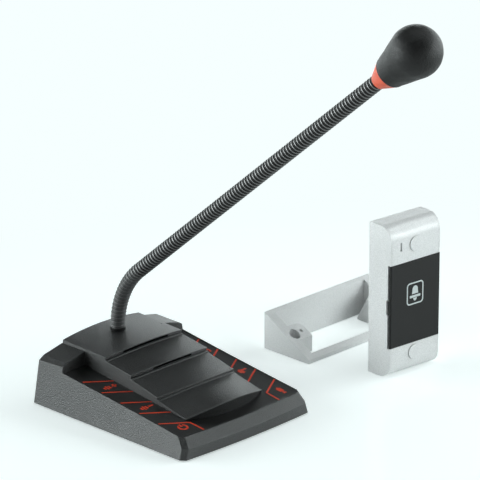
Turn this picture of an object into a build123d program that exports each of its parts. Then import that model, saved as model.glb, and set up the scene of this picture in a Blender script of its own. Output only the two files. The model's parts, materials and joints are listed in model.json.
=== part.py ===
from build123d import *
import math
import os

# Counter intercom set: an operator's console with a gooseneck microphone, a customer
# call panel and an angled bracket, standing apart on one table. Millimetres, +Z up.
# The operator sits on the -Y side. Each piece is written to parts/<name>.step.
#
# Pieces are drawn with the console centred on X = 0. At the end the whole set is moved
# so that the origin lies under the middle of its bounding box, on the table.

# ---- console body
HALF_WIDTH = 62.25          # half the width at the foot
REAR_Y = 72.5               # foot of the rear wall
REAR_LEAN = 0.073           # the rear wall leans forward, mm per mm of height
CHEEK_LEAN_FRONT = 0.307    # the cheeks lean in more at the front than at the rear
CHEEK_LEAN_REAR = 0.08
REACH = 90.0                # how far construction shapes run past the body
FOOT_Z = 0.8                # the housing hangs this far above the table, on its feet
WALL = 2.4                  # moulded wall thickness

# ---- operator's deck: an inclined plane, low at the front
DECK_Y = -69.6
DECK_Z = 15.24
DECK_SLOPE = 0.1185
OVERLAY_T = 0.6
OVERLAY_DROP = 0.3          # the keypad face lies this far below the rim
DECK_WALL = 2.3             # material left under the keypad

# ---- front lip: z, y in the middle, y at the ends, for each ridge of its two facets
LIP_RIDGES = (
    (FOOT_Z, -77.6, -75.5),
    (8.5, -78.3, -75.4),
    (16.5, -70.3, -68.9),
    (70.0, -70.3, -68.9),
)
LIP_CORNER = 2.8            # width of the facet between lip and cheek
LIP_CORNER_RUN = 1.24       # that facet's run in Y per mm in X

# ---- shoulders beside the hood, behind the keys
SHOULDER_Y = 47.0           # their upright front wall
SHOULDER_OUT = (59.7, 32.0)
SHOULDER_RIDGE = (54.4, 35.4)
SHOULDER_IN = (38.0, 39.2)

# ---- louvred hood: four crowned shingles stepping down towards the operator
HOOD_HALF = 36.7
SHINGLE_LAP = 8.0           # each shingle starts this far under the one behind
SHINGLE_LIP = 2.1           # thickness of its overhanging front lip
SHINGLE_OVERHANG = 0.5
SHINGLES = (
    # rear y, front y, rear edge z, front edge z, rear crown, front crown, front bulge
    (75.0, 26.4, 41.7, 40.3, 3.1, 3.1, 3.0),
    (26.4, 1.4, 37.7, 34.1, 3.1, 3.8, 4.6),
    (1.4, -24.6, 31.3, 25.4, 3.8, 5.0, 6.6),
    (-24.6, -52.1, 23.3, 17.6, 5.0, 7.9, 9.3),
)
SLIT_SHINGLES = (0, 1)      # shingles with a speaker slit under the front edge
SLIT_HALF = (21.5, 18.5)
SLIT_TOP = 0.35             # below the shingle's surface
SLIT_HEIGHT = 1.35
SLIT_DEPTH = 6.0
LAMP_HOLE = (33.2, 42.9, 0.6)       # x, y, radius of the status lamp's hole in the hood

# ---- keys: boundaries run diagonally from the cheek inwards and forwards
KEY_OUT_X = 56.0
KEY_IN_X = 38.0
KEY_DIAGONAL = -0.577       # change of y per mm inwards
KEY_LINES_Y = (29.9, 10.9, -7.7, -26.3, -44.9)   # at KEY_OUT_X
KEY_INSET = 0.6             # from a boundary line to the key's edge
KEY_FRONT_Y = -67.6
KEY_GAP = 0.12              # between a key and the overlay
KEY_TRAVEL = 0.4
KEY_DEPTH_CLEAR = KEY_TRAVEL + 0.2          # free space under a key
KEYS_LEFT = ("volume_up_key", "volume_down_key", "power_key")
KEYS_RIGHT = ("listen_key", "talk_key", "microphone_key")
PLUNGER_R = 2.4
PLUNGER_HOLE_R = 2.8
OVERLAY_EDGE_X = 57.0
OVERLAY_FRONT = (-70.0, -68.6)   # y in the middle and at the ends of the front edge
OVERLAY_GAP = 0.2           # to the hood's walls
KEY_BOARD_DROP = 8.6        # top of the key board below the rim plane
BOARD_T = 1.6
SWITCH_HEIGHT = 1.8
KEY_SWITCH_SIDE = 5.0
SWITCH_GAP = KEY_TRAVEL + 0.1               # from switch to plunger at rest

# ---- base and inner parts of the console
BASE_T = 2.2
FIT = 0.1
SCREW_COLUMNS = ((55.0, 61.0, 20.0), (30.0, -68.0, 14.0))    # x on both sides, y, top z
COLUMN_R = 3.4
PILOT_R = 1.3
PILOT_TOP_Z = 10.0
SCREW_R = 1.25
SCREW_LENGTH = 6.5
SCREW_HEAD_R = 2.6
SCREW_HEAD_H = 1.1
SCREW_HOLE_R = 1.6
HEAD_SINK = 1.3
FEET_XY = ((46.0, 50.0), (46.0, -56.0))
FOOT_R = 6.0
FOOT_SINK = 1.0
POST_R = 2.5
KEY_BOARD_X = (38.5, 55.0)
KEY_BOARD_Y = (-64.2, 44.0)
KEY_BOARD_BRIDGE_Y = -56.0
KEY_BOARD_POSTS = ((47.0, -32.0), (47.0, 22.0))
SPEAKER_Y = 6.0
SPEAKER_HALF = 26.0         # half of the square flange
SPEAKER_R = 22.8            # inside of the basket's rim
SPEAKER_Z = (22.0, 24.0)    # underside and top of the flange
SPEAKER_FOOT_Z = 10.0       # underside of the basket
SPEAKER_POST = 22.8
BASKET_FOOT_R = 15.8
COIL_HOLE_R = 12.0
MAGNET_R = 13.5
MAGNET_Z = 4.8
COIL_R = 7.3
CONE_DEPTH = 7.4
CONE_T = 0.7
MAIN_BOARD_Z = 8.0
MAIN_BOARD_HALF_X = 40.0
MAIN_BOARD_Y = (34.0, 66.0)
MAIN_BOARD_POSTS = ((36.0, 38.0), (36.0, 62.0))
SOCKET_REAR_Y = 70.6
SOCKET_FIT = 0.3
POWER_SOCKET = (-24.0, 9.0, 11.0, 14.0)     # middle x, width, height, depth
POWER_BORE_R = 3.0
POWER_PIN_R = 1.0
LINE_SOCKET = (14.0, 14.0, 13.0, 16.0)
LINE_MOUTH = (10.4, 7.0, 12.0)              # width, height, depth

# ---- gooseneck, in the plane x = 0
NECK_R = 5.3
NECK_BORE_R = 3.4
NECK_Y = 52.2
NECK_STRAIGHT_Z = 46.4      # the bend starts here
NECK_BEND_R = 62.0
NECK_LEAN = 49.6            # degrees from upright, towards the operator
NECK_LENGTH = 293.7         # of the straight part, from the bend to the light ring
NECK_JOINT = 78.0           # of that, the flexible length that tilts the head
NECK_END = 39.6             # and the stiff length above it
NECK_SEAM = 0.3
FERRULE_R = 5.5
FERRULE_Z = (44.4, 46.1)    # the rim on top of the hood
STEM_R = 4.5
STEM_FOOT_Z = 36.4
STEM_FIT = 0.06
NUT_R = 7.5
NUT_Z = (37.2, 41.2)

# ---- microphone head, along the neck's axis from the end of the ribs
CONE_LENGTH = 13.5
CONE_R = 11.3
FOAM_BALL_AT = 42.0
FOAM_R = 17.7
CONE_WALL = 1.2
CONE_NECK_R = 5.7
HOLDER_STEPS = ((-4.0, 3.4), (6.0, 5.8), (CONE_LENGTH, 7.5))   # start, radius
HOLDER_END = 32.0
LAMP_BOARD = (10.0, 1.2, 8.3)   # start, thickness, radius
CAPSULE_R = 4.8
CAPSULE_H = 6.5
CAPSULE_SINK = 4.0
FOAM_BORE_END = 36.0

# ---- customer panel, drawn with its rear left foot at the origin
PANEL_W = 46.4
PANEL_H = 113.2
PANEL_D = 21.6
PANEL_ROUND = 10.5
PANEL_PLACE = (146.17, -52.05)
PANEL_TURN = -5.1
SKIN_T = 1.8
SIDE_T = 1.2
SIDE_DRAFT = 1.1            # how far each side leans out from front to back
SIDE_GAP = 0.15
PLATE_IN = (23.0, 28.3)     # the call plate, from the panel's foot and from its top
PLATE_Z = (PLATE_IN[0], PANEL_H - PLATE_IN[1])
PLATE_FRONT = 22.1          # distance in front of the panel's back
PLATE_T = 2.0
PLATE_GAP = 0.25
PLATE_TAB_Z = (48.1, 58.5)
PLATE_TAB = 1.3
PLATE_TRAVEL = 0.9
PLATE_FLOOR = PLATE_FRONT - PLATE_T - PLATE_TRAVEL - 0.6   # recess floor, from the panel's back
ICON_DROP = 24.3            # the sign's middle below the plate's top
ICON_Z = PLATE_Z[1] - ICON_DROP
PANEL_SCREW_IN = (15.6, 15.8)      # from the panel's foot and from its top
PANEL_SCREW_Z = (PANEL_SCREW_IN[0], PANEL_H - PANEL_SCREW_IN[1])
PANEL_HOLE_R = 2.1
PLUG_R = 5.5
PLUG_PROUD = 0.7
PLUG_COLLAR_R = 6.5
PLUG_SINK = 1.2
PLUG_STEM_R = 4.35
PLUG_STEM = 3.0
CHANNEL_R = 4.4
CHANNEL_FLOOR = 6.0         # in front of the panel's back
MIC_SLOT = (9.6, PANEL_SCREW_Z[1], 1.6, 6.4)   # x, z, width, height
PANEL_MIC = (3.0, 4.5)             # radius, depth
PANEL_BACK_T = 2.0
PANEL_BOARD = (6.0, 26.0, 23.2)    # distance from each side, the foot and the top
PANEL_BOARD_BACK = 6.4
PANEL_POSTS = (9.0, 30.0, 27.2)    # the same for the board's posts
PLATE_STEM_R = 2.5
SWITCH_SIDE = 6.0
SWITCH_FRONT = 12.0                # in front of the panel's back
PLATE_STEM_END = SWITCH_FRONT + PLATE_TRAVEL + 0.3
SOUNDER_SPAN = (PANEL_SCREW_Z[0] + PLUG_COLLAR_R, ICON_Z - PLATE_STEM_R)
SOUNDER_ROOM = 4.0                 # left free below and above the sounder in that span
SOUNDER_Z = (SOUNDER_SPAN[1] + SOUNDER_SPAN[0]) / 2
SOUNDER_R = (SOUNDER_SPAN[1] - SOUNDER_SPAN[0]) / 2 - SOUNDER_ROOM
SOUNDER_DEPTH = 6.0
SOUND_SLOT = (13.0, 2.0)           # length, height
SOUND_SLOT_PITCH = 5.0

# ---- angled bracket, drawn with its front left foot at the origin
BRACKET_L = 108.5
BRACKET_D = 44.4
BRACKET_H = 28.0
BRACKET_LIP = 3.0
BRACKET_END = 7.5
BRACKET_BAR = 4.5
BRACKET_REAR = 3.0
BRACKET_PLACE = (124.69, -13.4)
BOSS_X = 20.6               # inner side of the screw boss
BOSS_Y = (16.4, 28.4)       # its front, and its rear edge on the slope
BOSS_ROUND = 6.0
BOSS_HOLE = (7.7, 21.7)
BOSS_HOLE_R = 4.2
BOSS_FLOOR = 4.0
COUNTER_HOLE_R = 2.1
PILOT_AT = (15.0, 22.4)     # on the slope
PILOT_DEPTH = 9.0
BRACKET_PILOT_R = 1.25


def deck_z(y, drop=0.0):
    return DECK_Z + DECK_SLOPE * (y - DECK_Y) - drop


def rear_y(z):
    return REAR_Y - REAR_LEAN * z


def upright_face(points, y=0.0):
    """A face in an XZ plane from (x, z) points, for shapes drawn along Y."""
    plane = Plane(origin=(0, y, 0), x_dir=(1, 0, 0), z_dir=(0, -1, 0))
    return plane * make_face(Polyline(*points, close=True))


def along_y(points, y0, y1):
    return extrude(upright_face(points, y1), y1 - y0)


def along_x(points, x0, x1):
    """A prism from (y, z) points between two x values."""
    plane = Plane(origin=(x0, 0, 0), x_dir=(0, 1, 0), z_dir=(1, 0, 0))
    return extrude(plane * make_face(Polyline(*points, close=True)), x1 - x0)


def along_z(points, z0, z1):
    return Pos(0, 0, z0) * extrude(make_face(Polyline(*points, close=True)), z1 - z0)


def block(x0, x1, y0, y1, z0, z1):
    size = Box(x1 - x0, y1 - y0, z1 - z0)
    return Pos((x0 + x1) / 2, (y0 + y1) / 2, (z0 + z1) / 2) * size


def rod(x, y, z0, z1, radius):
    return Pos(x, y, (z0 + z1) / 2) * Cylinder(radius, z1 - z0)


def rod_y(x, z, y0, y1, radius):
    return Pos(x, (y0 + y1) / 2, z) * Rot(90, 0, 0) * Cylinder(radius, y1 - y0)


def both_sides(shape):
    return shape + mirror(shape, Plane.YZ)


def both_sides_list(shape):
    return [one(shape), one(mirror(shape, Plane.YZ))]


def group(lists):
    """Separate solids that share one node."""
    return Compound([solid for shapes in lists for solid in shapes])


def one(shape):
    """The single solid of a result that should have just one."""
    solids = shape.solids()
    if len(solids) != 1:
        raise ValueError(f"expected one solid, got {len(solids)}")
    return solids[0]


# ---------------------------------------------------------------- console housing
def cheek_sides(inset):
    """The space between the two leaning cheeks."""
    foot = HALF_WIDTH - inset
    sections = []
    for y, lean in ((-REACH, CHEEK_LEAN_FRONT), (REACH, CHEEK_LEAN_REAR)):
        top = foot - lean * REACH
        outline = ((-foot, 0), (foot, 0), (top, REACH), (-top, REACH))
        sections.append(upright_face(outline, y))
    return loft(sections, ruled=True)


def lip_stack(inset):
    """Everything behind the two-facet front lip, which is bowed in plan."""
    sections = []
    wide = HALF_WIDTH + 10
    for z, middle, end in LIP_RIDGES:
        x = HALF_WIDTH - inset - LIP_CORNER - CHEEK_LEAN_FRONT * min(z, DECK_Z)
        corner = end + inset + LIP_CORNER_RUN * (wide - x)
        front = ThreePointArc((-x, end + inset), (0, middle + inset), (x, end + inset))
        back = Polyline(
            (x, end + inset), (wide, corner), (wide, REACH),
            (-wide, REACH), (-wide, corner), (-x, end + inset),
        )
        sections.append(Pos(0, 0, z) * make_face(front + back))
    return loft(sections, ruled=True)


def deck_slab(top_drop, bottom_drop):
    """A layer parallel to the deck, between two depths below the rim's plane."""
    points = (
        (-REACH, deck_z(-REACH, bottom_drop)),
        (REACH, deck_z(REACH, bottom_drop)),
        (REACH, deck_z(REACH, top_drop)),
        (-REACH, deck_z(-REACH, top_drop)),
    )
    return along_x(points, -REACH, REACH)


def rear_limit(inset):
    """Everything in front of the leaning rear wall."""
    points = (
        (-REACH, -1), (rear_y(-1) - inset, -1),
        (rear_y(REACH) - inset, REACH), (-REACH, REACH),
    )
    return along_x(points, -REACH, REACH)


def wedge(inset, foot_z, top_drop):
    """The console's wedge with its walls moved in by inset."""
    body = deck_slab(top_drop, REACH) & cheek_sides(inset) & lip_stack(inset) & rear_limit(inset)
    return body & block(-REACH, REACH, -REACH, REACH, foot_z, REACH)


def shoulders(inset):
    """The two raised blocks behind the keys, as one prism under the hood."""
    out_x, out_z = SHOULDER_OUT
    ridge_x, ridge_z = SHOULDER_RIDGE
    in_x, in_z = SHOULDER_IN
    far_x = out_x + 8.0
    far_z = out_z - (far_x - out_x) * (ridge_z - out_z) / (out_x - ridge_x)
    right = (
        (far_x, FOOT_Z + inset), (far_x, far_z - inset),
        (ridge_x, ridge_z - inset), (in_x, in_z - inset),
    )
    left = tuple((-x, z) for x, z in reversed(right))
    return along_y(right + left, SHOULDER_Y + inset, REACH) & cheek_sides(inset) & rear_limit(inset)


def crowned_face(y, edge_z, crown, half, floor):
    """One cross-section of a shingle: upright sides under a shallow arc."""
    arc = ThreePointArc((half, edge_z), (0, edge_z + crown), (-half, edge_z))
    rest = Polyline((-half, edge_z), (-half, floor), (half, floor), (half, edge_z))
    return Plane(origin=(0, y, 0), x_dir=(1, 0, 0), z_dir=(0, -1, 0)) * make_face(arc + rest)


def bowed_plan(half, edge_y, bulge):
    """Everything behind a bowed front edge, as a tall prism."""
    front = ThreePointArc((-half, edge_y), (0, edge_y - bulge), (half, edge_y))
    back = Polyline((half, edge_y), (half, REACH), (-half, REACH), (-half, edge_y))
    return extrude(make_face(front + back), REACH)


def crowned_block(row, inset, drop, floor=8.0):
    """The block under a shingle's crowned surface, lowered by drop."""
    y0, y1, z0, z1, crown0, crown1, bulge = row
    sections = []
    for y in (y0 + SHINGLE_LAP, y1 - bulge - 1.0):
        share = (y0 - y) / (y0 - y1)
        edge_z = z0 + share * (z1 - z0) - drop
        crown = crown0 + share * (crown1 - crown0)
        sections.append(crowned_face(y, edge_z, crown, HOOD_HALF - inset, floor))
    return loft(sections, ruled=True)


def shingle(row, inset):
    """One shingle of the hood: cut off along its bowed front edge, with a lip that overhangs."""
    y1, bulge = row[1] + inset, row[6]
    lip = crowned_block(row, inset, inset) & bowed_plan(HOOD_HALF, y1, bulge)
    under = crowned_block(row, inset, inset + SHINGLE_LIP, 7.0)
    return lip - (under - bowed_plan(HOOD_HALF, y1 + SHINGLE_OVERHANG, bulge))


def hood(inset):
    shape = shingle(SHINGLES[0], inset)
    for row in SHINGLES[1:]:
        shape += shingle(row, inset)
    return shape & rear_limit(inset)


def slit(row, half):
    """The speaker slit under a shingle's front edge."""
    y1, bulge = row[1], row[6]
    layer = crowned_block(row, 0, SLIT_TOP) - crowned_block(row, 0, SLIT_TOP + SLIT_HEIGHT, 7.0)
    layer -= bowed_plan(HOOD_HALF + 1, y1 + SLIT_DEPTH, bulge)
    return layer & block(-half, half, y1 - bulge - 1, y1 + SLIT_DEPTH, 0, REACH)


def overlay_plan(gap):
    """The keypad's U-shaped plan around the hood, grown by gap, as a tall prism."""
    x = OVERLAY_EDGE_X + gap
    middle, end = OVERLAY_FRONT
    rear = SHOULDER_Y - OVERLAY_GAP + gap
    front = ThreePointArc((-x, end - gap), (0, middle - gap), (x, end - gap))
    back = Polyline((x, end - gap), (x, rear), (-x, rear), (-x, end - gap))
    row = SHINGLES[-1]
    inner = bowed_plan(HOOD_HALF + OVERLAY_GAP - gap, row[1] - OVERLAY_GAP + gap, row[6])
    return extrude(make_face(front + back), REACH) - inner


def key_outlines(gap=0.0):
    """Plan outlines of the three keys on the +X side, from the rear, grown by gap."""
    lines = KEY_LINES_Y
    step = KEY_INSET - gap
    rise = KEY_DIAGONAL * (KEY_OUT_X - KEY_IN_X)
    out_x = KEY_OUT_X + gap
    in_x = KEY_IN_X - gap
    outlines = []
    for first, last in ((lines[0], lines[1]), (lines[2], lines[3])):
        outlines.append((
            (out_x, first - step), (in_x, first - step + rise),
            (in_x, last + step + rise), (out_x, last + step),
        ))
    outlines.append((
        (out_x, lines[4] - step), (in_x, lines[4] - step + rise),
        (in_x, KEY_FRONT_Y - gap), (out_x, KEY_FRONT_Y - gap),
    ))
    return outlines


def key_centres():
    """The middle of each key on the +X side."""
    centres = []
    for outline in key_outlines():
        xs, ys = zip(*outline)
        centres.append((sum(xs) / len(xs), sum(ys) / len(ys)))
    return centres


def console_housing():
    recess = OVERLAY_DROP + OVERLAY_T
    pocket = recess + KEY_DEPTH_CLEAR
    body = wedge(0, FOOT_Z, 0) + shoulders(0) + hood(0)
    cavity = wedge(WALL, 0, recess + DECK_WALL) + shoulders(WALL) + hood(WALL)
    body -= cavity
    body -= overlay_plan(OVERLAY_GAP) & deck_slab(-1, recess)
    for outline, (x, y) in zip(key_outlines(KEY_GAP), key_centres()):
        body -= both_sides(along_z(outline, 0, REACH) & deck_slab(-1, pocket))
        body -= both_sides(rod(x, y, 0, REACH, PLUNGER_HOLE_R) & deck_slab(-1, KEY_BOARD_DROP))
    for index, half in zip(SLIT_SHINGLES, SLIT_HALF):
        body -= slit(SHINGLES[index], half)
    for x, y, top in SCREW_COLUMNS:
        column = rod(x, y, FOOT_Z + BASE_T, top, COLUMN_R) - rod(x, y, 0, PILOT_TOP_Z, PILOT_R)
        body += both_sides(column & wedge(WALL / 2, 0, recess + DECK_WALL / 2))
    for middle, width, height, depth in (POWER_SOCKET, LINE_SOCKET):
        body -= block(
            middle - width / 2 - SOCKET_FIT, middle + width / 2 + SOCKET_FIT, REAR_Y - 8, REAR_Y + 1,
            MAIN_BOARD_Z + BOARD_T - SOCKET_FIT, MAIN_BOARD_Z + BOARD_T + height + SOCKET_FIT,
        )
    body -= rod(0, NECK_Y, STEM_FOOT_Z, REACH, STEM_R + STEM_FIT)
    lamp_x, lamp_y, lamp_r = LAMP_HOLE
    body -= rod(lamp_x, lamp_y, STEM_FOOT_Z, REACH, lamp_r)
    return one(body)


# ---------------------------------------------------------------- console, other pieces
def base_plate():
    body = wedge(WALL + FIT, FOOT_Z, 0) & block(-REACH, REACH, -REACH, REACH, 0, FOOT_Z + BASE_T)
    top = FOOT_Z + BASE_T
    for x, y in KEY_BOARD_POSTS:
        post = rod(x, y, top, REACH, POST_R) & deck_slab(KEY_BOARD_DROP + BOARD_T, REACH)
        body += both_sides(post)
    for x, y in MAIN_BOARD_POSTS:
        body += both_sides(rod(x, y, top, MAIN_BOARD_Z, POST_R))
    for y in (SPEAKER_Y - SPEAKER_POST, SPEAKER_Y + SPEAKER_POST):
        body += both_sides(rod(SPEAKER_POST, y, top, SPEAKER_Z[0], POST_R))
    for x, y, column_top in SCREW_COLUMNS:
        body -= both_sides(rod(x, y, 0, top + 1, SCREW_HOLE_R))
        body -= both_sides(rod(x, y, 0, FOOT_Z + HEAD_SINK, SCREW_HEAD_R + 2 * FIT))
    for x, y in FEET_XY:
        body -= both_sides(rod(x, y, 0, FOOT_Z + FOOT_SINK, FOOT_R + FIT))
    return one(body)


def rubber_feet():
    return group(both_sides_list(rod(x, y, 0, FOOT_Z + FOOT_SINK, FOOT_R)) for x, y in FEET_XY)


def base_screws():
    shapes = []
    for x, y, top in SCREW_COLUMNS:
        under_head = FOOT_Z + HEAD_SINK
        head = rod(x, y, under_head - SCREW_HEAD_H, under_head, SCREW_HEAD_R)
        shank = rod(x, y, under_head, under_head + SCREW_LENGTH, SCREW_R)
        shapes.append(both_sides_list(head + shank))
    return group(shapes)


def keypad_overlay():
    body = overlay_plan(0) & deck_slab(OVERLAY_DROP, OVERLAY_DROP + OVERLAY_T)
    for outline in key_outlines(KEY_GAP):
        body -= both_sides(along_z(outline, 0, REACH))
    return one(body)


def keys():
    """Three keys a side, each a thin plate on a plunger."""
    shapes = {}
    under = OVERLAY_DROP + OVERLAY_T
    end = KEY_BOARD_DROP - SWITCH_HEIGHT - SWITCH_GAP
    rows = zip(KEYS_LEFT, KEYS_RIGHT, key_outlines(), key_centres())
    for name_left, name_right, outline, (x, y) in rows:
        plate = along_z(outline, 0, REACH) & deck_slab(OVERLAY_DROP, under)
        plunger = rod(x, y, 0, REACH, PLUNGER_R) & deck_slab(under, end)
        key = one(plate + plunger)
        shapes[name_right] = key
        shapes[name_left] = mirror(key, Plane.YZ)
    return shapes


def key_board():
    x0, x1 = KEY_BOARD_X
    y0, y1 = KEY_BOARD_Y
    plan = block(-x1, x1, y0, y1, 0, REACH) - block(-x0, x0, KEY_BOARD_BRIDGE_Y, REACH, 0, REACH)
    return one(plan & deck_slab(KEY_BOARD_DROP, KEY_BOARD_DROP + BOARD_T))


def key_switches():
    layer = deck_slab(KEY_BOARD_DROP - SWITCH_HEIGHT, KEY_BOARD_DROP)
    half = KEY_SWITCH_SIDE / 2
    shapes = []
    for x, y in key_centres():
        switch = block(x - half, x + half, y - half, y + half, 0, REACH) & layer
        shapes.append(both_sides_list(switch))
    return group(shapes)


def main_board():
    y0, y1 = MAIN_BOARD_Y
    x = MAIN_BOARD_HALF_X
    return one(block(-x, x, y0, y1, MAIN_BOARD_Z, MAIN_BOARD_Z + BOARD_T))


def socket_block(size):
    middle, width, height, depth = size
    z0 = MAIN_BOARD_Z + BOARD_T
    x0, x1 = middle - width / 2, middle + width / 2
    return block(x0, x1, SOCKET_REAR_Y - depth, SOCKET_REAR_Y, z0, z0 + height)


def power_socket():
    middle, width, height, depth = POWER_SOCKET
    z = MAIN_BOARD_Z + BOARD_T + height / 2
    mouth = rod_y(middle, z, SOCKET_REAR_Y - depth * 0.7, REAR_Y, POWER_BORE_R)
    pin = rod_y(middle, z, SOCKET_REAR_Y - depth * 0.8, SOCKET_REAR_Y - 1, POWER_PIN_R)
    return one(socket_block(POWER_SOCKET) - mouth + pin)


def line_socket():
    middle, width, height, depth = LINE_SOCKET
    mouth_w, mouth_h, mouth_d = LINE_MOUTH
    z = MAIN_BOARD_Z + BOARD_T + height / 2
    x0, x1 = middle - mouth_w / 2, middle + mouth_w / 2
    mouth = block(x0, x1, SOCKET_REAR_Y - mouth_d, REAR_Y, z - mouth_h / 2, z + mouth_h / 2)
    latch = block(
        middle - mouth_w / 4, middle + mouth_w / 4, SOCKET_REAR_Y - mouth_d, REAR_Y,
        z + mouth_h / 2, z + mouth_h / 2 + 1.5,
    )
    return one(socket_block(LINE_SOCKET) - mouth - latch)


def turned(points, y=0.0):
    """A solid of revolution about the upright axis at y, from (radius, z) points."""
    profile = Plane.XZ * make_face(Polyline(*points, close=True))
    return Pos(0, y, 0) * revolve(profile, Axis.Z, 360)


def speaker_frame():
    low, high = SPEAKER_Z
    half = SPEAKER_HALF
    flange = block(-half, half, SPEAKER_Y - half, SPEAKER_Y + half, low, high)
    flange -= rod(0, SPEAKER_Y, 0, REACH, SPEAKER_R + 0.5)
    foot = SPEAKER_FOOT_Z
    basket = turned((
        (SPEAKER_R + 1.8, high), (SPEAKER_R + 1.8, low), (BASKET_FOOT_R, foot), (COIL_HOLE_R, foot),
        (COIL_HOLE_R, foot + 1.8), (BASKET_FOOT_R - 1.2, foot + 1.8), (SPEAKER_R, low), (SPEAKER_R, high),
    ), SPEAKER_Y)
    return one(flange + basket)


def speaker_cone():
    top = SPEAKER_Z[1] - 0.2
    foot = SPEAKER_FOOT_Z
    neck = top - CONE_DEPTH
    dish = turned((
        (SPEAKER_R, top), (SPEAKER_R, top - CONE_T), (COIL_R, neck - CONE_T), (COIL_R, foot),
        (COIL_R - CONE_T, foot), (COIL_R - CONE_T, neck - CONE_T), (0, neck - CONE_T), (0, neck),
        (COIL_R, neck), (SPEAKER_R - CONE_T, top),
    ), SPEAKER_Y)
    return one(dish)


def speaker_magnet():
    return one(rod(0, SPEAKER_Y, MAGNET_Z, SPEAKER_FOOT_Z, MAGNET_R))


# ---------------------------------------------------------------- gooseneck
def neck_ferrule():
    low, high = FERRULE_Z
    body = rod(0, NECK_Y, low, high, FERRULE_R) + rod(0, NECK_Y, STEM_FOOT_Z, low, STEM_R)
    return one(body - rod(0, NECK_Y, 0, REACH, NECK_BORE_R))


def neck_nut():
    low, high = NUT_Z
    hexagon = extrude(Pos(0, NECK_Y, low) * RegularPolygon(NUT_R, 6), high - low)
    return one(hexagon - rod(0, NECK_Y, 0, REACH, STEM_R))


def neck_section():
    return Circle(NECK_R) - Circle(NECK_BORE_R)


def bend_point(angle):
    """(y, z) of the bend's centre line at an angle from upright, in degrees."""
    turn = math.radians(angle)
    return (
        NECK_Y - NECK_BEND_R + NECK_BEND_R * math.cos(turn),
        NECK_STRAIGHT_Z + NECK_BEND_R * math.sin(turn),
    )


def neck_lower():
    """The flexible lower part: upright, then bent towards the operator."""
    foot = (NECK_Y, FERRULE_Z[1])
    bend = ThreePointArc(bend_point(0), bend_point(NECK_LEAN / 2), bend_point(NECK_LEAN))
    path = Plane.YZ * (Line(foot, bend_point(0)) + bend)
    start = Plane(origin=(0, *foot), z_dir=(0, 0, 1))
    return one(sweep(start * neck_section(), path=path))


def on_neck(distance):
    """The plane across the straight part, a distance along it from the bend."""
    lean = math.radians(NECK_LEAN)
    y, z = bend_point(NECK_LEAN)
    direction = (0, -math.sin(lean), math.cos(lean))
    origin = (0, y + distance * direction[1], z + distance * direction[2])
    return Plane(origin=origin, x_dir=(1, 0, 0), z_dir=direction)


def neck_length(start, end):
    return one(extrude(on_neck(start) * neck_section(), end - start))


def turned_on_head(*edges):
    """A solid of revolution on the head's axis, from edges drawn in (radius, distance)."""
    profile = Plane.XZ * make_face(*edges)
    return on_neck(NECK_LENGTH).location * revolve(profile, Axis.Z, 360)


def light_ring():
    """The translucent cone between the neck and the foam."""
    return one(turned_on_head(Polyline(
        (CONE_NECK_R, 0), (CONE_R, CONE_LENGTH), (CONE_R - CONE_WALL, CONE_LENGTH),
        (CONE_NECK_R - CONE_WALL, 0), close=True,
    )))


def capsule_holder():
    points = [(0, HOLDER_STEPS[0][0])]
    ends = [start for start, radius in HOLDER_STEPS[1:]] + [HOLDER_END]
    for (start, radius), end in zip(HOLDER_STEPS, ends):
        points += [(radius, start), (radius, end)]
    seat = HOLDER_END - CAPSULE_SINK
    points += [(CAPSULE_R, HOLDER_END), (CAPSULE_R, seat), (0, seat)]
    return one(turned_on_head(Polyline(*points, close=True)))


def lamp_board():
    start, thickness, radius = LAMP_BOARD
    inner = HOLDER_STEPS[1][1]
    end = start + thickness
    return one(turned_on_head(Polyline(
        (inner, start), (radius, start), (radius, end), (inner, end), close=True,
    )))


def mic_capsule():
    start = HOLDER_END - CAPSULE_SINK
    end = start + CAPSULE_H
    return one(turned_on_head(Polyline(
        (0, start), (CAPSULE_R, start), (CAPSULE_R, end), (0, end), close=True,
    )))


def windscreen():
    """The foam: a cone from the light ring running smoothly into a ball."""
    rise = FOAM_BALL_AT - CONE_LENGTH
    reach = math.hypot(rise, CONE_R)
    tangent = math.atan2(CONE_R, rise) + math.acos(FOAM_R / reach)
    touch = (FOAM_R * math.sin(tangent), FOAM_BALL_AT - FOAM_R * math.cos(tangent))
    half_way = (math.pi + tangent) / 2
    middle = (FOAM_R * math.sin(half_way), FOAM_BALL_AT - FOAM_R * math.cos(half_way))
    bore = HOLDER_STEPS[-1][1]
    ball = ThreePointArc(touch, middle, (0, FOAM_BALL_AT + FOAM_R))
    rest = Polyline(
        (0, FOAM_BALL_AT + FOAM_R), (0, FOAM_BORE_END), (bore, FOAM_BORE_END),
        (bore, CONE_LENGTH), (CONE_R, CONE_LENGTH), touch,
    )
    return one(turned_on_head(ball + rest))


# ---------------------------------------------------------------- customer panel
def panel_block(x0, x1, inset=0.0):
    """The panel's side profile, rounded at its two front edges, between two x values."""
    body = block(x0, x1, inset - PANEL_D, 0, inset, PANEL_H - inset)
    return fillet(body.edges().filter_by(Axis.X).group_by(Axis.Y)[0], PANEL_ROUND - inset)


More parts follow.
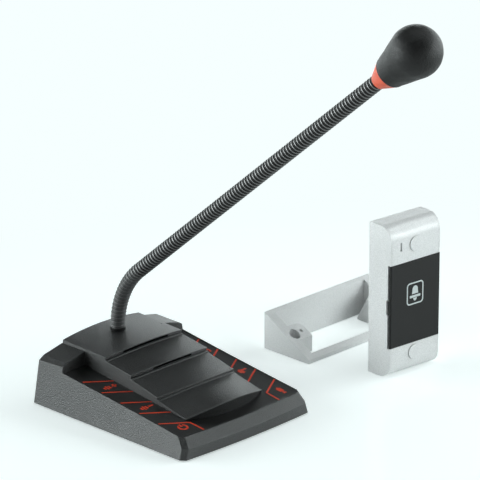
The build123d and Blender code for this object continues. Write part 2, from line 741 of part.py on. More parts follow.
def panel_skin():
    x0 = SIDE_T + SIDE_GAP
    x1 = PANEL_W - x0
    z0, z1 = PLATE_Z[0] - PLATE_GAP, PLATE_Z[1] + PLATE_GAP
    seat = block(x0, x1, -PANEL_D, SKIN_T - PLATE_FLOOR, z0 - SKIN_T, z1 + SKIN_T)
    body = panel_block(x0, x1) - (panel_block(x0 - 1, x1 + 1, SKIN_T) - seat)
    body -= block(x0 - 1, x1 + 1, -PANEL_D - 1, -PLATE_FLOOR, z0, z1)
    middle = PANEL_W / 2
    for z in PANEL_SCREW_Z:
        body += rod_y(middle, z, -PANEL_D + SKIN_T / 2, -PANEL_BACK_T, PLUG_COLLAR_R)
        body -= rod_y(middle, z, -PANEL_D - 1, PLUG_SINK - PANEL_D, PLUG_R + FIT)
        body -= rod_y(middle, z, -PANEL_D, -CHANNEL_FLOOR, CHANNEL_R)
        body -= rod_y(middle, z, -PANEL_D, 0, PANEL_HOLE_R)
    slot_x, slot_z, slot_w, slot_h = MIC_SLOT
    body -= block(
        slot_x - slot_w / 2, slot_x + slot_w / 2, -PANEL_D - 1, SKIN_T - PANEL_D + 1,
        slot_z - slot_h / 2, slot_z + slot_h / 2,
    )
    body -= rod_y(middle, ICON_Z, -PANEL_D, 0, PLATE_STEM_R + 3 * FIT)
    length, height = SOUND_SLOT
    for step in (-1, 0, 1):
        z = SOUNDER_Z + step * SOUND_SLOT_PITCH
        body -= block(
            middle - length / 2, middle + length / 2, -PANEL_D, SKIN_T + 1 - PLATE_FLOOR,
            z - height / 2, z + height / 2,
        )
    return one(body)


def panel_side():
    """The left side plate: it leans out to the back, and is notched for the call plate."""
    z0, z1 = PLATE_Z[0] - PLATE_GAP, PLATE_Z[1] + PLATE_GAP
    tab0, tab1 = PLATE_TAB_Z[0] - PLATE_GAP, PLATE_TAB_Z[1] + PLATE_GAP
    back = PLATE_TRAVEL + 0.4 - (PLATE_FRONT - PLATE_T)
    plan = ((0, -PANEL_D), (SIDE_T, -PANEL_D), (SIDE_T, 0), (-SIDE_DRAFT, 0))
    body = panel_block(-SIDE_DRAFT, SIDE_T) & along_z(plan, 0, PANEL_H)
    x0, x1 = -SIDE_DRAFT - 1, SIDE_T + 1
    body -= block(x0, x1, -PANEL_D - 1, back, z0, z1)
    body -= block(x0, x1, -PANEL_D - 1, back + PLATE_TAB, tab0, tab1)
    return one(body)


def panel_back():
    x0 = SIDE_T + SIDE_GAP
    body = block(x0, PANEL_W - x0, -PANEL_BACK_T, 0, SKIN_T + FIT, PANEL_H - SKIN_T - FIT)
    for z in PANEL_SCREW_Z:
        body -= rod_y(PANEL_W / 2, z, -PANEL_D, 1, PANEL_HOLE_R)
    side, low, high = PANEL_POSTS
    for x in (side, PANEL_W - side):
        for z in (low, PANEL_H - high):
            body += rod_y(x, z, -PANEL_BOARD_BACK, -PANEL_BACK_T, POST_R)
    return one(body)


def call_button():
    """The black plate across the panel's front, pressed as one large button."""
    back = PLATE_T - PLATE_FRONT
    edge = FIT / 2
    body = block(edge, PANEL_W - edge, -PLATE_FRONT, back, *PLATE_Z)
    body = chamfer(body.faces().sort_by(Axis.Y)[0].edges(), 0.4)
    for x0 in (edge, PANEL_W - SIDE_T + edge):
        body += block(x0, x0 + SIDE_T - FIT, back, back + PLATE_TAB, *PLATE_TAB_Z)
    return one(body + rod_y(PANEL_W / 2, ICON_Z, back, -PLATE_STEM_END, PLATE_STEM_R))


def panel_board():
    side, low, high = PANEL_BOARD
    face = -PANEL_BOARD_BACK - BOARD_T
    return one(block(side, PANEL_W - side, face, -PANEL_BOARD_BACK, low, PANEL_H - high))


def call_switch():
    half = SWITCH_SIDE / 2
    middle = PANEL_W / 2
    face = -PANEL_BOARD_BACK - BOARD_T
    return one(block(middle - half, middle + half, -SWITCH_FRONT, face, ICON_Z - half, ICON_Z + half))


def panel_speaker():
    seat = SKIN_T - PLATE_FLOOR
    body = rod_y(PANEL_W / 2, SOUNDER_Z, seat, seat + SOUNDER_DEPTH * 0.4, SOUNDER_R)
    return one(body + rod_y(PANEL_W / 2, SOUNDER_Z, seat, seat + SOUNDER_DEPTH, SOUNDER_R * 0.6))


def panel_microphone():
    radius, depth = PANEL_MIC
    seat = SKIN_T - PANEL_D
    return one(rod_y(MIC_SLOT[0], MIC_SLOT[1], seat, seat + depth, radius))


def screw_plugs():
    shapes = []
    for z in PANEL_SCREW_Z:
        seat = PLUG_SINK - PANEL_D
        cap = rod_y(PANEL_W / 2, z, -PANEL_D - PLUG_PROUD, seat, PLUG_R)
        shapes.append([one(cap + rod_y(PANEL_W / 2, z, seat, seat + PLUG_STEM, PLUG_STEM_R))])
    return group(shapes)


# ---------------------------------------------------------------- bracket
def slope_z(y):
    """Height of the bracket's sloping face."""
    return BRACKET_LIP + (BRACKET_H - BRACKET_LIP) * y / BRACKET_D


def screw_boss():
    """The left boss: upright in front, square to the slope at its rounded rear corner."""
    front, rear = BOSS_Y
    fall = (BRACKET_H - BRACKET_LIP) / BRACKET_D
    profile = (
        (front, 0), (rear + slope_z(rear) * fall, 0), (rear, slope_z(rear)), (front, slope_z(front)),
    )
    body = along_x(profile, 0, BOSS_X)
    corner = body.faces().sort_by(Axis.X)[-1].edges().sort_by(Axis.Y)[-1]
    return fillet(corner, BOSS_ROUND)


def pilot_hole():
    """A blind hole square to the slope, for a screw that holds a device on it."""
    x, y = PILOT_AT
    lean = math.degrees(math.atan2(BRACKET_H - BRACKET_LIP, BRACKET_D))
    place = Pos(x, y, slope_z(y)) * Rot(lean, 0, 0)
    return place * Cylinder(BRACKET_PILOT_R, 2 * PILOT_DEPTH)


def angle_bracket():
    """A wedge-shaped frame: end walls, rear wall, low front bar and two screw bosses."""
    profile = ((0, 0), (BRACKET_D, 0), (BRACKET_D, BRACKET_H), (0, BRACKET_LIP))
    window = block(
        BRACKET_END, BRACKET_L - BRACKET_END, BRACKET_BAR, BRACKET_D - BRACKET_REAR, -1, BRACKET_H + 1
    )
    hole_x, hole_y = BOSS_HOLE
    holes = rod(hole_x, hole_y, BOSS_FLOOR, BRACKET_H + 1, BOSS_HOLE_R)
    holes += rod(hole_x, hole_y, -1, BOSS_FLOOR + 1, COUNTER_HOLE_R)
    holes += pilot_hole()
    middle = Plane.YZ.offset(BRACKET_L / 2)
    bosses = screw_boss()
    body = along_x(profile, 0, BRACKET_L) - window + bosses + mirror(bosses, middle)
    return one(body - holes - mirror(holes, middle))


# ---------------------------------------------------------------- the whole set
def console_pieces():
    pieces = {
        "console_housing": console_housing(),
        "base_plate": base_plate(),
        "rubber_feet": rubber_feet(),
        "base_screws": base_screws(),
        "keypad_overlay": keypad_overlay(),
        "key_board": key_board(),
        "key_switches": key_switches(),
        "main_board": main_board(),
        "power_socket": power_socket(),
        "line_socket": line_socket(),
        "speaker_frame": speaker_frame(),
        "speaker_cone": speaker_cone(),
        "speaker_magnet": speaker_magnet(),
    }
    pieces.update(keys())
    return pieces


def neck_pieces():
    joint_end = NECK_LENGTH - NECK_END
    joint_start = joint_end - NECK_JOINT
    return {
        "neck_ferrule": neck_ferrule(),
        "neck_nut": neck_nut(),
        "neck_lower": neck_lower(),
        "neck_upper": neck_length(NECK_SEAM, joint_start),
        "neck_joint": neck_length(joint_start + NECK_SEAM, joint_end),
        "neck_end": neck_length(joint_end + NECK_SEAM, NECK_LENGTH),
        "light_ring": light_ring(),
        "lamp_board": lamp_board(),
        "capsule_holder": capsule_holder(),
        "mic_capsule": mic_capsule(),
        "windscreen": windscreen(),
    }


def panel_pieces():
    left = panel_side()
    right = Pos(PANEL_W, 0, 0) * mirror(left, Plane.YZ)
    pieces = {
        "panel_skin": panel_skin(),
        "panel_side_left": left,
        "panel_side_right": right,
        "panel_back": panel_back(),
        "call_button": call_button(),
        "panel_board": panel_board(),
        "call_switch": call_switch(),
        "panel_speaker": panel_speaker(),
        "panel_microphone": panel_microphone(),
        "screw_plugs": screw_plugs(),
    }
    x, y = PANEL_PLACE
    place = Pos(x, y, 0) * Rot(0, 0, PANEL_TURN)
    return {name: place * shape for name, shape in pieces.items()}


def bracket_pieces():
    x, y = BRACKET_PLACE
    return {"angle_bracket": Pos(x, y, 0) * angle_bracket()}


def main():
    os.makedirs("parts", exist_ok=True)
    pieces = {**console_pieces(), **neck_pieces(), **panel_pieces(), **bracket_pieces()}
    solids = [solid for shape in pieces.values() for solid in shape.solids()]
    middle = Compound(solids).bounding_box().center()
    for name, shape in pieces.items():
        moved = Pos(-middle.X, -middle.Y, 0) * shape
        export_step(moved, f"parts/{name}.step")
        print(name, len(shape.solids()), round(shape.volume / 1000, 2), "cm3")
    print("set moved by", round(-middle.X, 3), round(-middle.Y, 3))


main()
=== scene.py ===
# %% [markdown]
# # A counter intercom set, dressed for rendering
# The set has three things on one table: an operator's console with a gooseneck
# microphone, a customer call panel and an angled bracket. Their rigid shapes come from
# a CAD model, so this script adds what CAD leaves out: the wound ribs of the neck, the
# foam, the rolled lips of the hood, the printed lines, and a finish for every surface.
# Everything is in metres, and a new piece is drawn straight at its place in the frame.

# %% Load the frame
import bpy
import bmesh
import json
import math
import numpy as np
from mathutils import Matrix, Vector


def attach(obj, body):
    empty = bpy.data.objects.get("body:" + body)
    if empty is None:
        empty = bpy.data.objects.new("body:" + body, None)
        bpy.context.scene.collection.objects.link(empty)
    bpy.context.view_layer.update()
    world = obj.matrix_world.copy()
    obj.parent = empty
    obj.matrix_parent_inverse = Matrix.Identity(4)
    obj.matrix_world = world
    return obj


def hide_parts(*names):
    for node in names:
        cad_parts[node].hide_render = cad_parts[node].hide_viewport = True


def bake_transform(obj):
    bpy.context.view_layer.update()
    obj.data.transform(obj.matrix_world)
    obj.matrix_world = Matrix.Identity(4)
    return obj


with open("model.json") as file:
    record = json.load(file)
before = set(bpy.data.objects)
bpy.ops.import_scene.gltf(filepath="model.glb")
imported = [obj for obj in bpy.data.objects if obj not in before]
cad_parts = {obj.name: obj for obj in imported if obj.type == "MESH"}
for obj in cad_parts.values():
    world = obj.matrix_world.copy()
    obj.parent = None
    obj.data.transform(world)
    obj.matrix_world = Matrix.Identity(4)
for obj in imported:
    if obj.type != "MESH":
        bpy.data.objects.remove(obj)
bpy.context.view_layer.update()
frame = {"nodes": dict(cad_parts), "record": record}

# %% [markdown]
# ## Where things are
# The console and the panel each have a zero point of their own, from which their sizes
# are easy to give. Shapes are worked out in millimetres from that point, because the
# parts are small, and one function for each turns them into metres in the shared frame.

# %% Zero points of the console and the panel
MM = 0.001
CONSOLE_ZERO = np.array([-85.511, 85.262, 0.0])
PANEL_ZERO = np.array([60.659, 33.212, 0.0])
PANEL_TURN = math.radians(-5.1)


def console_place(points):
    """Metres in the frame = (millimetres from the console's zero + that zero) / 1000."""
    return (np.asarray(points, float) + CONSOLE_ZERO) * MM


def panel_place(points):
    """The same for the panel, whose x and y axes are first turned about the upright."""
    x, y, z = np.moveaxis(np.asarray(points, float), -1, 0)
    c, s = math.cos(PANEL_TURN), math.sin(PANEL_TURN)
    turned = np.stack([c * x - s * y, s * x + c * y, z], axis=-1)
    return (turned + PANEL_ZERO) * MM


print("console zero:", console_place([0, 0, 0]).round(4))

# %% [markdown]
# ## The camera
# A long lens from far away keeps the edges of the console nearly parallel, as in a
# catalogue picture. Two angles and a distance place the camera around the point that it
# looks at. A camera looks along its own -Z axis, so that axis is turned towards the
# point while the Y axis stays up.

# %% Camera
AZIMUTH = math.radians(-45.288)
ELEVATION = math.radians(20.493)
DISTANCE = 3.1393
LOOK_AT = console_place([155.42, 85.97, 60.34])
HALF_FRAME = 240.0 / 4316.86        # half of the image plane over the focal length
SENSOR = 36.0


def aim(thing, place, target):
    """Turns a thing so that its -Z points from place to target and its Y stays up."""
    direction = Vector(target) - Vector(place)
    turn = direction.to_track_quat("-Z", "Y")
    thing.matrix_world = Matrix.LocRotScale(Vector(place), turn, None)


back = np.array([
    math.sin(AZIMUTH) * math.cos(ELEVATION),
    -math.cos(AZIMUTH) * math.cos(ELEVATION),
    math.sin(ELEVATION),
])
camera = bpy.data.objects.new("camera", bpy.data.cameras.new("camera"))
bpy.context.scene.collection.objects.link(camera)
camera.data.sensor_width = SENSOR
camera.data.lens = SENSOR / 2 / HALF_FRAME
camera.data.clip_end = 50.0
aim(camera, LOOK_AT + back * DISTANCE, LOOK_AT)
bpy.context.scene.camera = camera
print("lens:", round(camera.data.lens, 1), "mm at", round(DISTANCE, 2), "m")

# %% [markdown]
# ## Node trees in a few words
# A material is a graph of nodes. Writing `nodes.new` and `links.new` for each of them
# hides the idea, so a small class keeps a tree and adds a node with its settings and
# inputs in one call. An input that is given a socket gets a link, and any other value
# is set on the input. The steps that come back again and again, such as a mix of two
# tones, are calls of their own.

# %% A helper for node trees


class Tree:
    """A node tree that adds nodes by type, with properties and inputs by name."""

    def __init__(self, tree):
        self.tree = tree
        self.nodes = tree.nodes
        self.nodes.clear()

    def link(self, source, socket):
        """Joins an output to an input."""
        self.tree.links.new(source, socket)

    def add(self, kind, properties=None, **inputs):
        """A new node with its properties set and each named input linked or set."""
        node = self.nodes.new(kind)
        for name, value in (properties or {}).items():
            setattr(node, name, value)
        for name, value in inputs.items():
            socket = find_input(node, name)
            if isinstance(value, bpy.types.NodeSocket):
                self.link(value, socket)
            else:
                socket.default_value = value
        return node

    def combine(self, operation, first, second):
        """The result of a Math node on two values or sockets."""
        node = self.add("ShaderNodeMath", {"operation": operation}, i0=first, i1=second)
        return node.outputs[0]

    def smooth_step(self, value, start, end, before=0.0, after=1.0):
        """before up to start, after from end on, and a smooth curve in between."""
        node = self.add(
            "ShaderNodeMapRange", {"interpolation_type": "SMOOTHSTEP"}, Value=value,
            From_Min=start, From_Max=end, To_Min=before, To_Max=after,
        )
        return node.outputs["Result"]

    def two_tones(self, dark, light, share):
        """A colour that goes from dark to light as the share goes from 0 to 1."""
        mix = self.add("ShaderNodeMix", {"data_type": "RGBA"}, Factor=share)
        mix.inputs["A"].default_value = (*dark, 1)
        mix.inputs["B"].default_value = (*light, 1)
        return mix.outputs["Result"]

    def object_place(self):
        """The point being shaded, in the coordinates of its own object."""
        return self.add("ShaderNodeTexCoord").outputs["Object"]


def find_input(node, name):
    """A node's input by its number, written i0 or i1, or by its name with _ for spaces."""
    if name[0] == "i" and name[1:].isdigit():
        return node.inputs[int(name[1:])]
    return node.inputs[name.replace("_", " ")]


def new_material(name):
    """An empty material and its tree."""
    material = bpy.data.materials.new(name)
    material.use_nodes = True
    return material, Tree(material.node_tree)


def finish_material(tree, shader):
    """Makes a shader the one that the material shows."""
    tree.add("ShaderNodeOutputMaterial", Surface=shader.outputs[0])


def new_group(name, inputs, outputs):
    """A node group with float inputs {name: default} and outputs {name: socket type}."""
    group = bpy.data.node_groups.new(name, "ShaderNodeTree")
    for label, default in inputs.items():
        socket = group.interface.new_socket(label, in_out="INPUT", socket_type="NodeSocketFloat")
        socket.default_value = default
    for label, kind in outputs.items():
        group.interface.new_socket(label, in_out="OUTPUT", socket_type=kind)
    tree = Tree(group)
    return group, tree, tree.add("NodeGroupInput"), tree.add("NodeGroupOutput")


print("tree helper ready")

# %% [markdown]
# ## Moulded grain
# The tool for a plastic housing is eroded by sparks, which leaves a surface of tiny
# soft pits less than a millimetre apart. It scatters a lamp's reflection into
# speckles. A noise texture in object coordinates has the right look at any angle, and
# one group makes it for every moulded part. The group also rounds the part's edges:
# the Bevel node blends the normals of two faces near their common edge, so a sharp CAD
# edge catches light as a moulded one does.

# %% The grain group
GRAIN_HEIGHT = 0.0006
CLOUDS_PER_METRE = 35.0
BEVEL_SAMPLES = 6

grain_group, tree, given, result = new_group(
    "moulded_grain",
    {"Density": 1400.0, "Depth": 0.3, "Edge radius": 0.0004},
    {"Normal": "NodeSocketVector", "Speckle": "NodeSocketFloat", "Cloud": "NodeSocketFloat"},
)
place = tree.object_place()
fine = tree.add("ShaderNodeTexNoise", Vector=place, Scale=given.outputs["Density"], Detail=2.0)
cloud = tree.add("ShaderNodeTexNoise", Vector=place, Scale=CLOUDS_PER_METRE, Detail=3.0)
rounded = tree.add(
    "ShaderNodeBevel", {"samples": BEVEL_SAMPLES}, Radius=given.outputs["Edge radius"],
)
bump = tree.add(
    "ShaderNodeBump", Strength=given.outputs["Depth"], Distance=GRAIN_HEIGHT,
    Height=fine.outputs["Fac"], Normal=rounded.outputs[0],
)
for source, label in ((bump, "Normal"), (fine, "Speckle"), (cloud, "Cloud")):
    tree.link(source.outputs[0], result.inputs[label])
print("group:", grain_group.name, len(grain_group.nodes), "nodes")

# %% [markdown]
# ## Finishes made with the grain
# Most parts differ only in two tones, a gloss and how deep their grain is, so they are
# rows of one table. The speckle mixes the tones, so pits are a little darker than the
# land between them, and the slow cloud varies the gloss as handling does.

# %% A moulded finish


def moulded(name, dark, light, gloss, density, depth, edge, specular):
    """Grain mixes dark to light, and a slow cloud moves the roughness within gloss."""
    material, tree = new_material(name)
    grain = tree.add("ShaderNodeGroup", {"node_tree": grain_group})
    for label, value in (("Density", density), ("Depth", depth), ("Edge radius", edge)):
        grain.inputs[label].default_value = value
    rough = tree.add(
        "ShaderNodeMapRange", Value=grain.outputs["Cloud"], To_Min=gloss[0], To_Max=gloss[1],
    )
    shader = tree.add(
        "ShaderNodeBsdfPrincipled", Specular_IOR_Level=specular,
        Base_Color=tree.two_tones(dark, light, grain.outputs["Speckle"]),
        Roughness=rough.outputs["Result"], Normal=grain.outputs["Normal"],
    )
    finish_material(tree, shader)
    return material


def grey(value):
    """A colour with the same red, green and blue."""
    return (value, value, value)


GREEN = ((0.01, 0.07, 0.03), (0.02, 0.12, 0.05))
MOULDED = {
    # name: dark tone, light tone, roughness from and to, pits per metre, depth of grain,
    # radius of an edge in metres, specular level
    "housing_black": (grey(0.003), grey(0.016), (0.38, 0.48), 1350, 0.85, 0.0008, 0.85),
    # lips and rims: their paler tone is a painted highlight on the hood's edges
    "painted_highlight_black": (grey(0.03), grey(0.08), (0.4, 0.5), 1500, 0.9, 0.0004, 0.5),
    # black strips in the speaker slits: painted shade
    "painted_slit_shade": (grey(0.001), grey(0.004), (0.9, 1.0), 2000, 0.3, 0.0001, 0.0),
    # strip on the hood's front face: painted shade
    "painted_front_shade": (grey(0.002), grey(0.01), (0.5, 0.6), 1500, 0.9, 0.0002, 0.2),
    "base_black": (grey(0.008), grey(0.02), (0.5, 0.65), 900, 0.4, 0.0004, 0.5),
    "foot_rubber": (grey(0.012), grey(0.022), (0.7, 0.9), 2000, 0.3, 0.0004, 0.5),
    "keypad_film": (grey(0.002), grey(0.004), (0.28, 0.34), 3500, 0.08, 0.0001, 1.0),
    "switch_black": (grey(0.01), grey(0.016), (0.5, 0.6), 2000, 0.1, 0.0002, 0.5),
    "socket_black": (grey(0.01), grey(0.016), (0.3, 0.4), 1500, 0.15, 0.0003, 0.5),
    "circuit_board": (*GREEN, (0.35, 0.5), 900, 0.15, 0.0001, 0.5),
    "speaker_paper": (grey(0.02), grey(0.05), (0.8, 0.95), 1200, 0.5, 0.0001, 0.5),
    "plate_black": (grey(0.002), grey(0.006), (0.42, 0.5), 2500, 0.12, 0.0004, 0.33),
    "bracket_silver": (grey(0.77), grey(0.92), (0.4, 0.5), 1000, 0.6, 0.0003, 0.5),
}
FINISHES = {name: moulded(name, *row) for name, row in MOULDED.items()}
print("moulded finishes:", len(FINISHES))

# %% [markdown]
# ## Silver lacquer and bare metal
# Silver lacquer is clear varnish over tiny flakes that lie at slightly different
# angles, so single points flash. Voronoi cells give each flake its own random value,
# which tilts the normal a little and lightens the tone.

# %% Lacquer and metal


FLAKES_PER_METRE = 2300.0
FLAKE_TILT = 0.12
FLAKE_HEIGHT = 0.0003
LACQUER_EDGE = 0.0003
GLOSS_SPREAD = 0.04


def lacquer(name, dark, light, metallic, roughness):
    """Voronoi cells are flakes: their random value mixes the tone and bends the normal."""
    material, tree = new_material(name)
    place = tree.object_place()
    cells = tree.add("ShaderNodeTexVoronoi", Vector=place, Scale=FLAKES_PER_METRE)
    spread = tree.add("ShaderNodeSeparateColor", Color=cells.outputs["Color"])
    rounded = tree.add("ShaderNodeBevel", {"samples": BEVEL_SAMPLES}, Radius=LACQUER_EDGE)
    bump = tree.add(
        "ShaderNodeBump", Strength=FLAKE_TILT, Distance=FLAKE_HEIGHT,
        Height=spread.outputs["Green"], Normal=rounded.outputs[0],
    )
    cloud = tree.add("ShaderNodeTexNoise", Vector=place, Scale=60.0, Detail=2.0)
    rough = tree.add(
        "ShaderNodeMapRange", Value=cloud.outputs["Fac"],
        To_Min=roughness - GLOSS_SPREAD, To_Max=roughness + GLOSS_SPREAD,
    )
    shader = tree.add(
        "ShaderNodeBsdfPrincipled", Metallic=metallic,
        Base_Color=tree.two_tones(dark, light, spread.outputs["Red"]),
        Roughness=rough.outputs["Result"], Normal=bump.outputs[0],
    )
    finish_material(tree, shader)
    return material


LACQUERED = {
    # name: dark tone, light tone, metallic, roughness
    "panel_silver": (grey(0.77), grey(0.93), 0.1, 0.34),
    "plug_silver": (grey(0.77), grey(0.92), 0.1, 0.36),
    "capsule_metal": (grey(0.5), grey(0.7), 1.0, 0.3),
    "screw_steel": (grey(0.4), grey(0.55), 1.0, 0.32),
    "speaker_steel": (grey(0.08), grey(0.16), 0.8, 0.45),
}
FINISHES.update({name: lacquer(name, *row) for name, row in LACQUERED.items()})
print("finishes so far:", len(FINISHES))

# %% [markdown]
# ## Black steel for the neck
# The neck's wire is blackened steel. Its crests are rubbed bright, which is wear, and its
# grooves are painted nearly black, a painted shade for the hollows between the turns.
# The crests are less bright near the foot. The ribs carry an attribute that goes from 0
# in a groove to 1 on a bright crest. The finish reads it, so bare metal shows only on the
# crests.

# %% Neck finish


def worn_and_shaded_steel(name):
    """The crest attribute mixes a painted groove shade to crest tones, lacquer to bare metal."""
    material, tree = new_material(name)
    place = tree.object_place()
    crest = tree.add("ShaderNodeAttribute", {"attribute_name": "crest"}).outputs["Fac"]
    scratches = tree.add("ShaderNodeTexNoise", Vector=place, Scale=2200.0, Detail=3.0)
    rough = tree.add(
        "ShaderNodeMapRange", Value=scratches.outputs["Fac"], To_Min=0.34, To_Max=0.5,
    )
    bump = tree.add(
        "ShaderNodeBump", Strength=0.12, Distance=0.0002, Height=scratches.outputs["Fac"],
    )
    # grooves get a painted shade, crests a rubbed bare-metal tone
    shader = tree.add(
        "ShaderNodeBsdfPrincipled", Base_Color=tree.two_tones(grey(0.01), grey(0.24), crest),
        Metallic=crest, Specular_IOR_Level=0.2,
        Roughness=rough.outputs["Result"], Normal=bump.outputs[0],
    )
    finish_material(tree, shader)
    return material


FINISHES["neck_black"] = worn_and_shaded_steel("neck_black")
print("neck finish ready")

# %% [markdown]
# ## Foam
# Open-cell foam is a sponge of bubbles well under a millimetre wide. Light that grazes
# it catches the torn cell walls, so the foam is darkest where it is seen face on. A
# broad gloss with a trace of sheen does that, and pores and lumps break it up.

# %% Foam finish


def foam_finish(name):
    """Voronoi cells dent the surface as pores, and sheen lights the cell walls."""
    material, tree = new_material(name)
    place = tree.object_place()
    pores = tree.add("ShaderNodeTexVoronoi", Vector=place, Scale=1500.0).outputs["Distance"]
    lumps = tree.add("ShaderNodeTexNoise", Vector=place, Scale=500.0, Detail=4.0)
    dents = tree.add("ShaderNodeBump", Strength=0.5, Distance=0.0003, Height=pores)
    relief = tree.add(
        "ShaderNodeBump", Strength=0.35, Distance=0.0006,
        Height=lumps.outputs["Fac"], Normal=dents.outputs[0],
    )
    shader = tree.add(
        "ShaderNodeBsdfPrincipled", Base_Color=tree.two_tones(grey(0.002), grey(0.008), pores),
        Roughness=0.5, Specular_IOR_Level=0.4, Sheen_Weight=0.02, Sheen_Roughness=0.4,
        Normal=relief.outputs[0],
    )
    finish_material(tree, shader)
    return material


FINISHES["foam_grey"] = foam_finish("foam_grey")
print("foam finish ready")

# %% [markdown]
# ## The light ring and ink
# The ring above the neck is a frosted red plastic that lets some light through, so it
# gets subsurface scattering. Ink is a thin dull film, red on the keypad and pale on the
# customer's plate. It thins and thickens a little, as screen printing does.

# %% Frosted ring and inks


def frosted(name, deep, pale):
    """A frosted plastic: cloudy tone, soft gloss, and light that passes a millimetre in."""
    material, tree = new_material(name)
    place = tree.object_place()
    cloud = tree.add("ShaderNodeTexNoise", Vector=place, Scale=180.0, Detail=3.0)
    frost = tree.add("ShaderNodeTexNoise", Vector=place, Scale=2500.0, Detail=2.0)
    bump = tree.add("ShaderNodeBump", Strength=0.1, Distance=0.0002, Height=frost.outputs["Fac"])
    shader = tree.add(
        "ShaderNodeBsdfPrincipled", Base_Color=tree.two_tones(deep, pale, cloud.outputs["Fac"]),
        Roughness=0.42, Subsurface_Weight=0.35, Subsurface_Radius=(0.004, 0.0012, 0.0008),
        Subsurface_Scale=1.0, Normal=bump.outputs[0],
    )
    finish_material(tree, shader)
    return material


def ink(name, dark, light, roughness):
    """Screen-printed ink: an even tone that thins and thickens a little."""
    material, tree = new_material(name)
    film = tree.add("ShaderNodeTexNoise", Vector=tree.object_place(), Scale=1800.0, Detail=2.0)
    bump = tree.add("ShaderNodeBump", Strength=0.08, Distance=0.0001, Height=film.outputs["Fac"])
    shader = tree.add(
        "ShaderNodeBsdfPrincipled", Base_Color=tree.two_tones(dark, light, film.outputs["Fac"]),
        Roughness=roughness, Normal=bump.outputs[0],
    )
    finish_material(tree, shader)
    return material


FINISHES["ring_red"] = frosted("ring_red", (0.72, 0.09, 0.045), (0.85, 0.16, 0.09))
RED_INK = ink("red_ink", (0.62, 0.035, 0.008), (0.8, 0.06, 0.016), 0.4)
PALE_INK = ink("pale_ink", (0.55, 0.6, 0.6), (0.75, 0.8, 0.8), 0.45)
print("all finishes:", len(FINISHES), "and two inks")

# %% [markdown]
# ## Dress the CAD parts
# The record of the model says which finish slot each part has. Each part's material is
# swapped for the finish of the same name.

# %% Give every CAD node its finish
slots = {part["node"]: part["material_slot"] for part in frame["record"]["subparts"]}
for node, thing in frame["nodes"].items():
    thing.data.materials.clear()
    thing.data.materials.append(FINISHES[slots[node]])
print("dressed:", len(slots), "nodes")

# %% [markdown]
# ## Surfaces from grids of points
# New shapes are surfaces over two parameters. Their points are worked out as one array
# of shape rows x columns x 3, and faces join neighbours in it. A grid can be wrapped
# in either direction, as a tube is. Rows of zero radius collapse to a point, and
# merging doubles then closes the pole.

# %% Grid to mesh


def grid_faces(rows, columns, wrap_rows, wrap_columns):
    """Quads that join point (i, j) to (i+1, j), (i+1, j+1) and (i, j+1), by index."""
    i = np.arange(rows if wrap_rows else rows - 1)
    j = np.arange(columns if wrap_columns else columns - 1)
    i, j = np.meshgrid(i, j, indexing="ij")
    after_i, after_j = (i + 1) % rows, (j + 1) % columns
    corners = [(i, j), (after_i, j), (after_i, after_j), (i, after_j)]
    return np.stack([a * columns + b for a, b in corners], axis=-1).reshape(-1, 4)


def make_piece(name, points, faces, material, smooth=True):
    """A mesh object from points in metres, its doubles merged and its faces outward."""
    mesh = bpy.data.meshes.new(name)
    mesh.from_pydata(np.asarray(points).reshape(-1, 3).tolist(), [], [list(f) for f in faces])
    work = bmesh.new()
    work.from_mesh(mesh)
    bmesh.ops.remove_doubles(work, verts=work.verts, dist=1e-7)
    bmesh.ops.recalc_face_normals(work, faces=work.faces)
    work.to_mesh(mesh)
    work.free()
    mesh.polygons.foreach_set("use_smooth", np.full(len(mesh.polygons), smooth))
    mesh.materials.append(material)
    piece = bpy.data.objects.new(name, mesh)
    bpy.context.scene.collection.objects.link(piece)
    print(name, len(mesh.polygons), "faces")
    return piece


print("a closed grid of 3 x 4 points has", len(grid_faces(3, 4, True, True)), "faces")

# %% [markdown]
# ## The neck's centre line
# The neck rises straight from the hood, bends towards the operator on a 62 mm arc and
# runs on straight to the microphone. Its centre line is a function of the distance
# along it, so ribs can be wound on it without a break where the CAD parts meet.

# %% Centre line of the neck
NECK_Y = 52.2
NECK_START_Z = 46.1
BEND_START_Z = 46.4
BEND_R = 62.0
NECK_LEAN = math.radians(49.6)
STRAIGHT_LENGTH = 293.7
RISE_LENGTH = BEND_START_Z - NECK_START_Z
BEND_LENGTH = BEND_R * NECK_LEAN


def neck_line(distance):
    """Points and tangents at distances from the foot: a short rise, an arc whose angle
    is distance / radius, then a straight run along the arc's last tangent."""
    s = np.asarray(distance, float)
    rise = np.minimum(s - RISE_LENGTH, 0.0)
    angle = np.clip((s - RISE_LENGTH) / BEND_R, 0.0, NECK_LEAN)
    run = np.maximum(s - RISE_LENGTH - BEND_LENGTH, 0.0)
    y = NECK_Y - BEND_R * (1 - np.cos(angle)) - run * math.sin(NECK_LEAN)
    z = BEND_START_Z + rise + BEND_R * np.sin(angle) + run * math.cos(NECK_LEAN)
    zero = np.zeros_like(s)
    points = np.stack([zero, y, z], axis=-1)
    tangents = np.stack([zero, -np.sin(angle), np.cos(angle)], axis=-1)
    return points, tangents


HEAD_AT = RISE_LENGTH + BEND_LENGTH + STRAIGHT_LENGTH
print("neck length:", round(HEAD_AT, 1), "mm")

# %% [markdown]
# ## Ribs
# A gooseneck is two wires wound together: a round spring wire and, wedged between its
# turns, a wire with a flat face that lies slightly deeper, and more so higher up, where
# the neck has been bent often. The tube's radius is a function of the phase of the
# winding, which is the distance along the neck over the pitch, less the turn around
# it. That makes a true helix.

